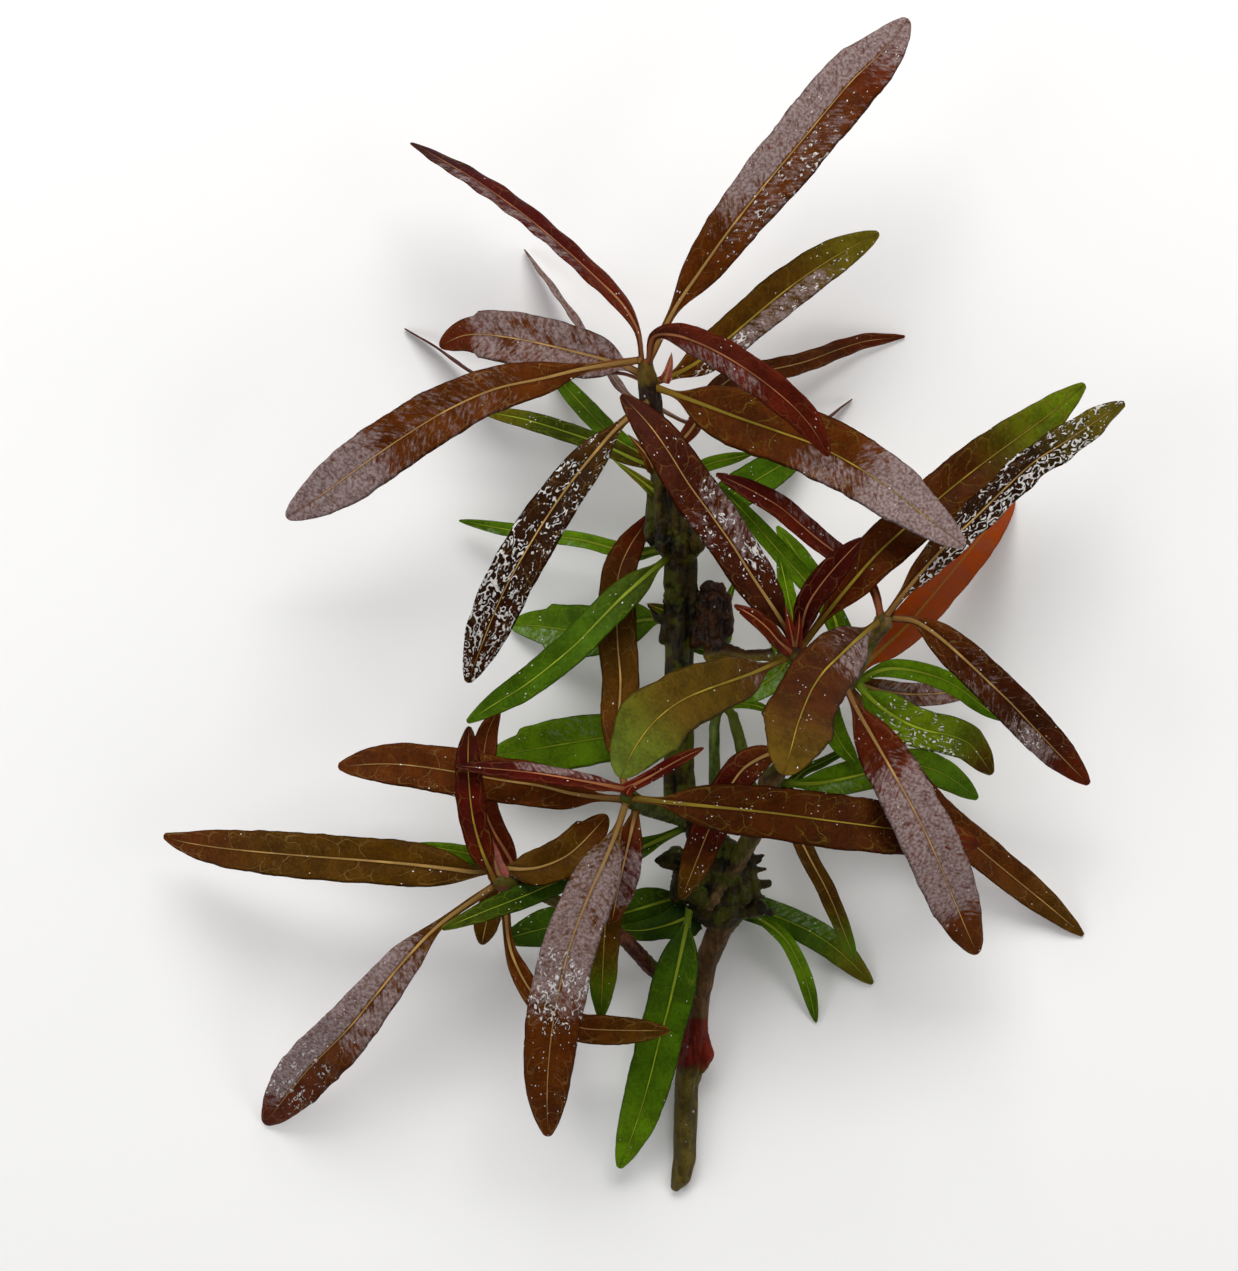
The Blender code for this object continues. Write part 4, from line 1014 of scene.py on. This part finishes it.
def add_strand(shape, strand):
    """A tapered rod with round ends."""
    start, end = seen_at(*strand[0]) * MM, seen_at(*strand[1]) * MM
    radii = [radius * MM for radius in strand[2:]]
    turn = (end - start).to_track_quat("Z", "Y").to_matrix().to_4x4()
    middle = Matrix.Translation((start + end) / 2) @ turn
    bmesh.ops.create_cone(shape, cap_ends=True, segments=STRAND_SIDES, radius1=radii[0],
                          radius2=radii[1], depth=(end - start).length, matrix=middle)
    for place, radius in zip((start, end), radii):
        bmesh.ops.create_icosphere(shape, subdivisions=2, radius=radius,
                                   matrix=Matrix.Translation(place))


def with_strands(name, node, strands):
    """The stem's solid and its strands, in one mesh."""
    shape = bmesh.new()
    shape.from_mesh(node.data)
    bmesh.ops.remove_doubles(shape, verts=shape.verts, dist=1e-6)
    for strand in strands:
        add_strand(shape, strand)
    mesh = bpy.data.meshes.new(name)
    shape.to_mesh(mesh)
    shape.free()
    return mesh


def roughened(mesh):
    """Moves the mesh's corners in and out: lumps on the knots, and faint ribs along the stem."""
    moved = []
    for vertex in mesh.vertices:
        place = vertex.co / MM
        knot = swollen(place, KNOTS)
        lumps = noise.noise(place * 0.55) * 0.40 + noise.noise(place * 1.4) * 0.30
        pits = noise.noise(Vector((place.x * 2.6, place.y * 1.3, place.z * 2.6))) * 0.14
        ribs = noise.noise(Vector((place.x * 1.8, place.y * 0.22, place.z * 1.8))) * 0.16
        out = (lumps * KNOT_LUMP + pits) * knot + ribs + 0.08
        moved.append(vertex.co + vertex.normal * (out * MM))
    mesh.vertices.foreach_set("co", [value for place in moved for value in place])
    mesh.update()


def stem_object(name, node):
    """A stem's solid, thickened by its strands, rounded and roughened."""
    skin = STEM_SKINS[name]
    rough = with_strands(name + "_rough", node, skin.strands)
    stem = bpy.data.objects.new(name + "_skin", rough)
    bpy.context.scene.collection.objects.link(stem)
    remesh = stem.modifiers.new("remesh", "REMESH")
    remesh.mode = "VOXEL"
    remesh.voxel_size = STEM_VOXEL * MM
    relax = stem.modifiers.new("relax", "SMOOTH")
    relax.factor = 0.5
    relax.iterations = 7
    bpy.context.view_layer.update()
    seen = stem.evaluated_get(bpy.context.evaluated_depsgraph_get())
    fine = bpy.data.meshes.new_from_object(seen)
    stem.modifiers.clear()
    stem.data = fine
    bpy.data.meshes.remove(rough)
    fine.name = name + "_skin"
    roughened(fine)
    fine.materials.clear()
    fine.materials.append(stem_material(name + "_skin", skin))
    for face in fine.polygons:
        face.use_smooth = True
    return stem


# Small leaves and buds that the solids leave out.


class Sprig:
    """A small leaf: its slot (not used), its full width and its places, with the look of its blade.
    """

    def __init__(self, slot, width, path, look, roll=0.0):
        self.slot = slot
        self.width = width
        self.path = path
        self.look = look
        self.roll = roll


SPRIGS = {
    "tip_pink_leaf": Sprig("leaf_purple", 1.3, [(3.7, 41, 30), (4.4, 43.2, 31), (4.8, 45.7, 31.5)],
                           Look(srgb(150, 52, 48), srgb(168, 84, 80), srgb(120, 32, 26))),
    "node_small_leaf": Sprig("leaf_bronze", 1.9, [(1.6, 25.0, 28), (0.0, 27.5, 29.5),
                                                  (-3.1, 31, 30.5)], bronze()),
    "node_pale_strip": Sprig("leaf_olive", 1.5, [(1.9, 20.5, 27.5), (-1.5, 23.2, 28),
                                                 (-6.0, 26.5, 27.5)],
                             Look(MOSS, OLIVE, YELLOW_GREEN, rib=RIB_GREEN)),
    "left_green_sliver": Sprig("leaf_green", 3.0, [(-26, -46.8, 23), (-31, -44.8, 23.4),
                                                   (-37, -43.6, 23), (-43, -42.8, 22)], green()),
    "left_pink_base": Sprig("leaf_purple", 2.6, [(-26.3, -48.6, 27.5), (-27.3, -45, 28.5),
                                                 (-28, -41, 29)],
                            Look(srgb(150, 80, 74), srgb(158, 92, 84), srgb(120, 50, 44))),
    "knot_dark_leaf": Sprig("leaf_green", 5.0, [(8.5, -55.6, 10.5), (4, -57.4, 12),
                                                (-1, -58.4, 14), (-6, -58.0, 15)],
                            Look(DARK_GREEN, DARK_GREEN, GREEN, rib=RIB_GREEN)),
    "inner_wet_leaf": Sprig("leaf_green", 2.8, [(25.6, -8.7, 34), (23.4, -5.8, 35.6),
                                                (20.3, -2.8, 36)], green(specks=0.8)),
    "node_bud_left": Sprig("leaf_green", 1.8, [(4.2, -1.0, 23), (2.4, -0.4, 24),
                                               (0.3, 0.5, 24.6)],
                           Look(DARK_GREEN, MOSS, BRONZE, rib=RIB_OLIVE)),
    "centre_sprout": Sprig("leaf_purple", 1.6, [(-3.3, -34, 31), (-3.0, -33.2, 33.2),
                                                (-2.2, -32.2, 35)], bud_red()),
    "inner_sprout": Sprig("leaf_purple", 1.8, [(26.9, -7.6, 36.4), (26.2, -4.4, 39.8),
                                               (25.2, 0.4, 42.5)], bud_red()),
    "inner_sprout_short": Sprig("leaf_purple", 1.6, [(27.0, -7.6, 36.4), (27.6, -4.6, 39.6),
                                                     (27.8, -0.9, 41.5)], bud_red()),
}


def sprig_stations(sprig):
    places = [seen_at(*point) for point in sprig.path]
    outline = (0.35, 1.0, 0.75)
    fulls = [0.32] + [outline[min(index, 2)] for index in range(1, len(places) - 1)] + [0.0]
    stations = []
    for index, place in enumerate(places):
        before = places[max(index - 1, 0)]
        after = places[min(index + 1, len(places) - 1)]
        along = (after - before).normalized()
        up = Vector((0, 0, 1))
        face = (up - along * up.dot(along)).normalized()
        across = along.cross(face).normalized()
        half = sprig.width / 2 * fulls[index]
        stations.append(Station(place, across, face, half, 0.12 * half))
    return stations


def make_sprigs():
    made = []
    for number, (name, sprig) in enumerate(SPRIGS.items()):
        leaf = leaf_object(name, sprig_stations(sprig), sprig.look, 700 + number)
        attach(leaf, "root")
        made.append(leaf)
    return made


# Putting it together.


def make_leaves(frame):
    trees = []
    for name in STEMS:
        corners = [vertex.co / MM for vertex in frame["nodes"][name].data.vertices]
        faces = [face.vertices for face in frame["nodes"][name].data.polygons]
        trees.append(BVHTree.FromPolygons(corners, faces))
    for number, (name, look) in enumerate(LEAF_LOOKS.items()):
        node = "leaf_" + name
        stations = blades_in(frame["nodes"][node], trees, is_pair=False)[0]
        leaf = leaf_object(node + "_blade", stations, look, number)
        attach(leaf, "root")
        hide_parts(node)
    for number, (name, looks) in enumerate(PAIR_LOOKS.items()):
        node = "leaves_" + name
        halves = blades_in(frame["nodes"][node], trees, is_pair=True)
        for letter, stations, look in zip("ab", halves, looks):
            leaf = leaf_object(node + "_blade_" + letter, stations, look,
                               100 + 2 * number + (letter == "b"))
            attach(leaf, "root")
            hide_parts(node)


def make_stems(frame):
    for name in STEMS:
        stem = stem_object(name, frame["nodes"][name])
        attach(stem, "root")
        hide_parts(name)


def make_floor():
    bpy.ops.mesh.primitive_plane_add(size=FLOOR_SIZE, location=(0, 0, 0))
    floor = bpy.context.object
    floor.name = "floor"
    floor.data.materials.append(plain_material("floor", FLOOR_COLOUR, 0.9))


def make_light(name, place, size, power, colour):
    lamp = bpy.data.lights.new(name, "AREA")
    lamp.shape = "RECTANGLE"
    lamp.size = size[0]
    lamp.size_y = size[1]
    lamp.energy = power
    lamp.color = colour
    light = bpy.data.objects.new(name, lamp)
    light.location = place
    light.rotation_mode = "QUATERNION"
    light.rotation_quaternion = (-Vector(place)).to_track_quat("-Z", "Y")
    bpy.context.scene.collection.objects.link(light)


def make_lights():
    make_light("key", (0.0, 0.85, 0.95), (1.0, 0.6), 13.4, (1.0, 0.99, 0.97))
    make_light("fill_left", (-1.0, -0.1, 0.7), (0.7, 0.9), 4.4, (0.97, 0.98, 1.0))
    make_light("fill_right", (1.0, -0.3, 0.7), (0.7, 0.9), 4.0, (1.0, 0.98, 0.96))
    world = bpy.data.worlds.new("studio")
    world.use_nodes = True
    background = world.node_tree.nodes["Background"]
    background.inputs["Color"].default_value = (1.0, 1.0, 1.0, 1.0)
    background.inputs["Strength"].default_value = 0.18
    bpy.context.scene.world = world


def make_camera():
    camera_data = bpy.data.cameras.new("camera")
    camera_data.sensor_width = SENSOR_MM
    camera_data.lens = SENSOR_MM * VIEW_DISTANCE / VIEW_HEIGHT_MM
    camera_data.clip_start = 0.01
    camera = bpy.data.objects.new("camera", camera_data)
    camera.location = (
        (VIEW_CENTRE[0] - BOX_CENTRE[0]) * MM,
        (VIEW_CENTRE[1] - BOX_CENTRE[1]) * MM,
        (VIEW_DISTANCE + VIEW_PLANE_HEIGHT) * MM)
    bpy.context.scene.collection.objects.link(camera)
    bpy.context.scene.camera = camera


def write_size():
    """Brings the view layer up to date."""
    bpy.context.view_layer.update()


def main():
    for thing in list(bpy.data.objects):
        bpy.data.objects.remove(thing)
    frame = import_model()
    bpy.context.scene.view_settings.view_transform = "Standard"
    make_camera()
    make_floor()
    make_lights()
    make_stems(frame)
    make_leaves(frame)
    make_sprigs()
    write_size()


main()
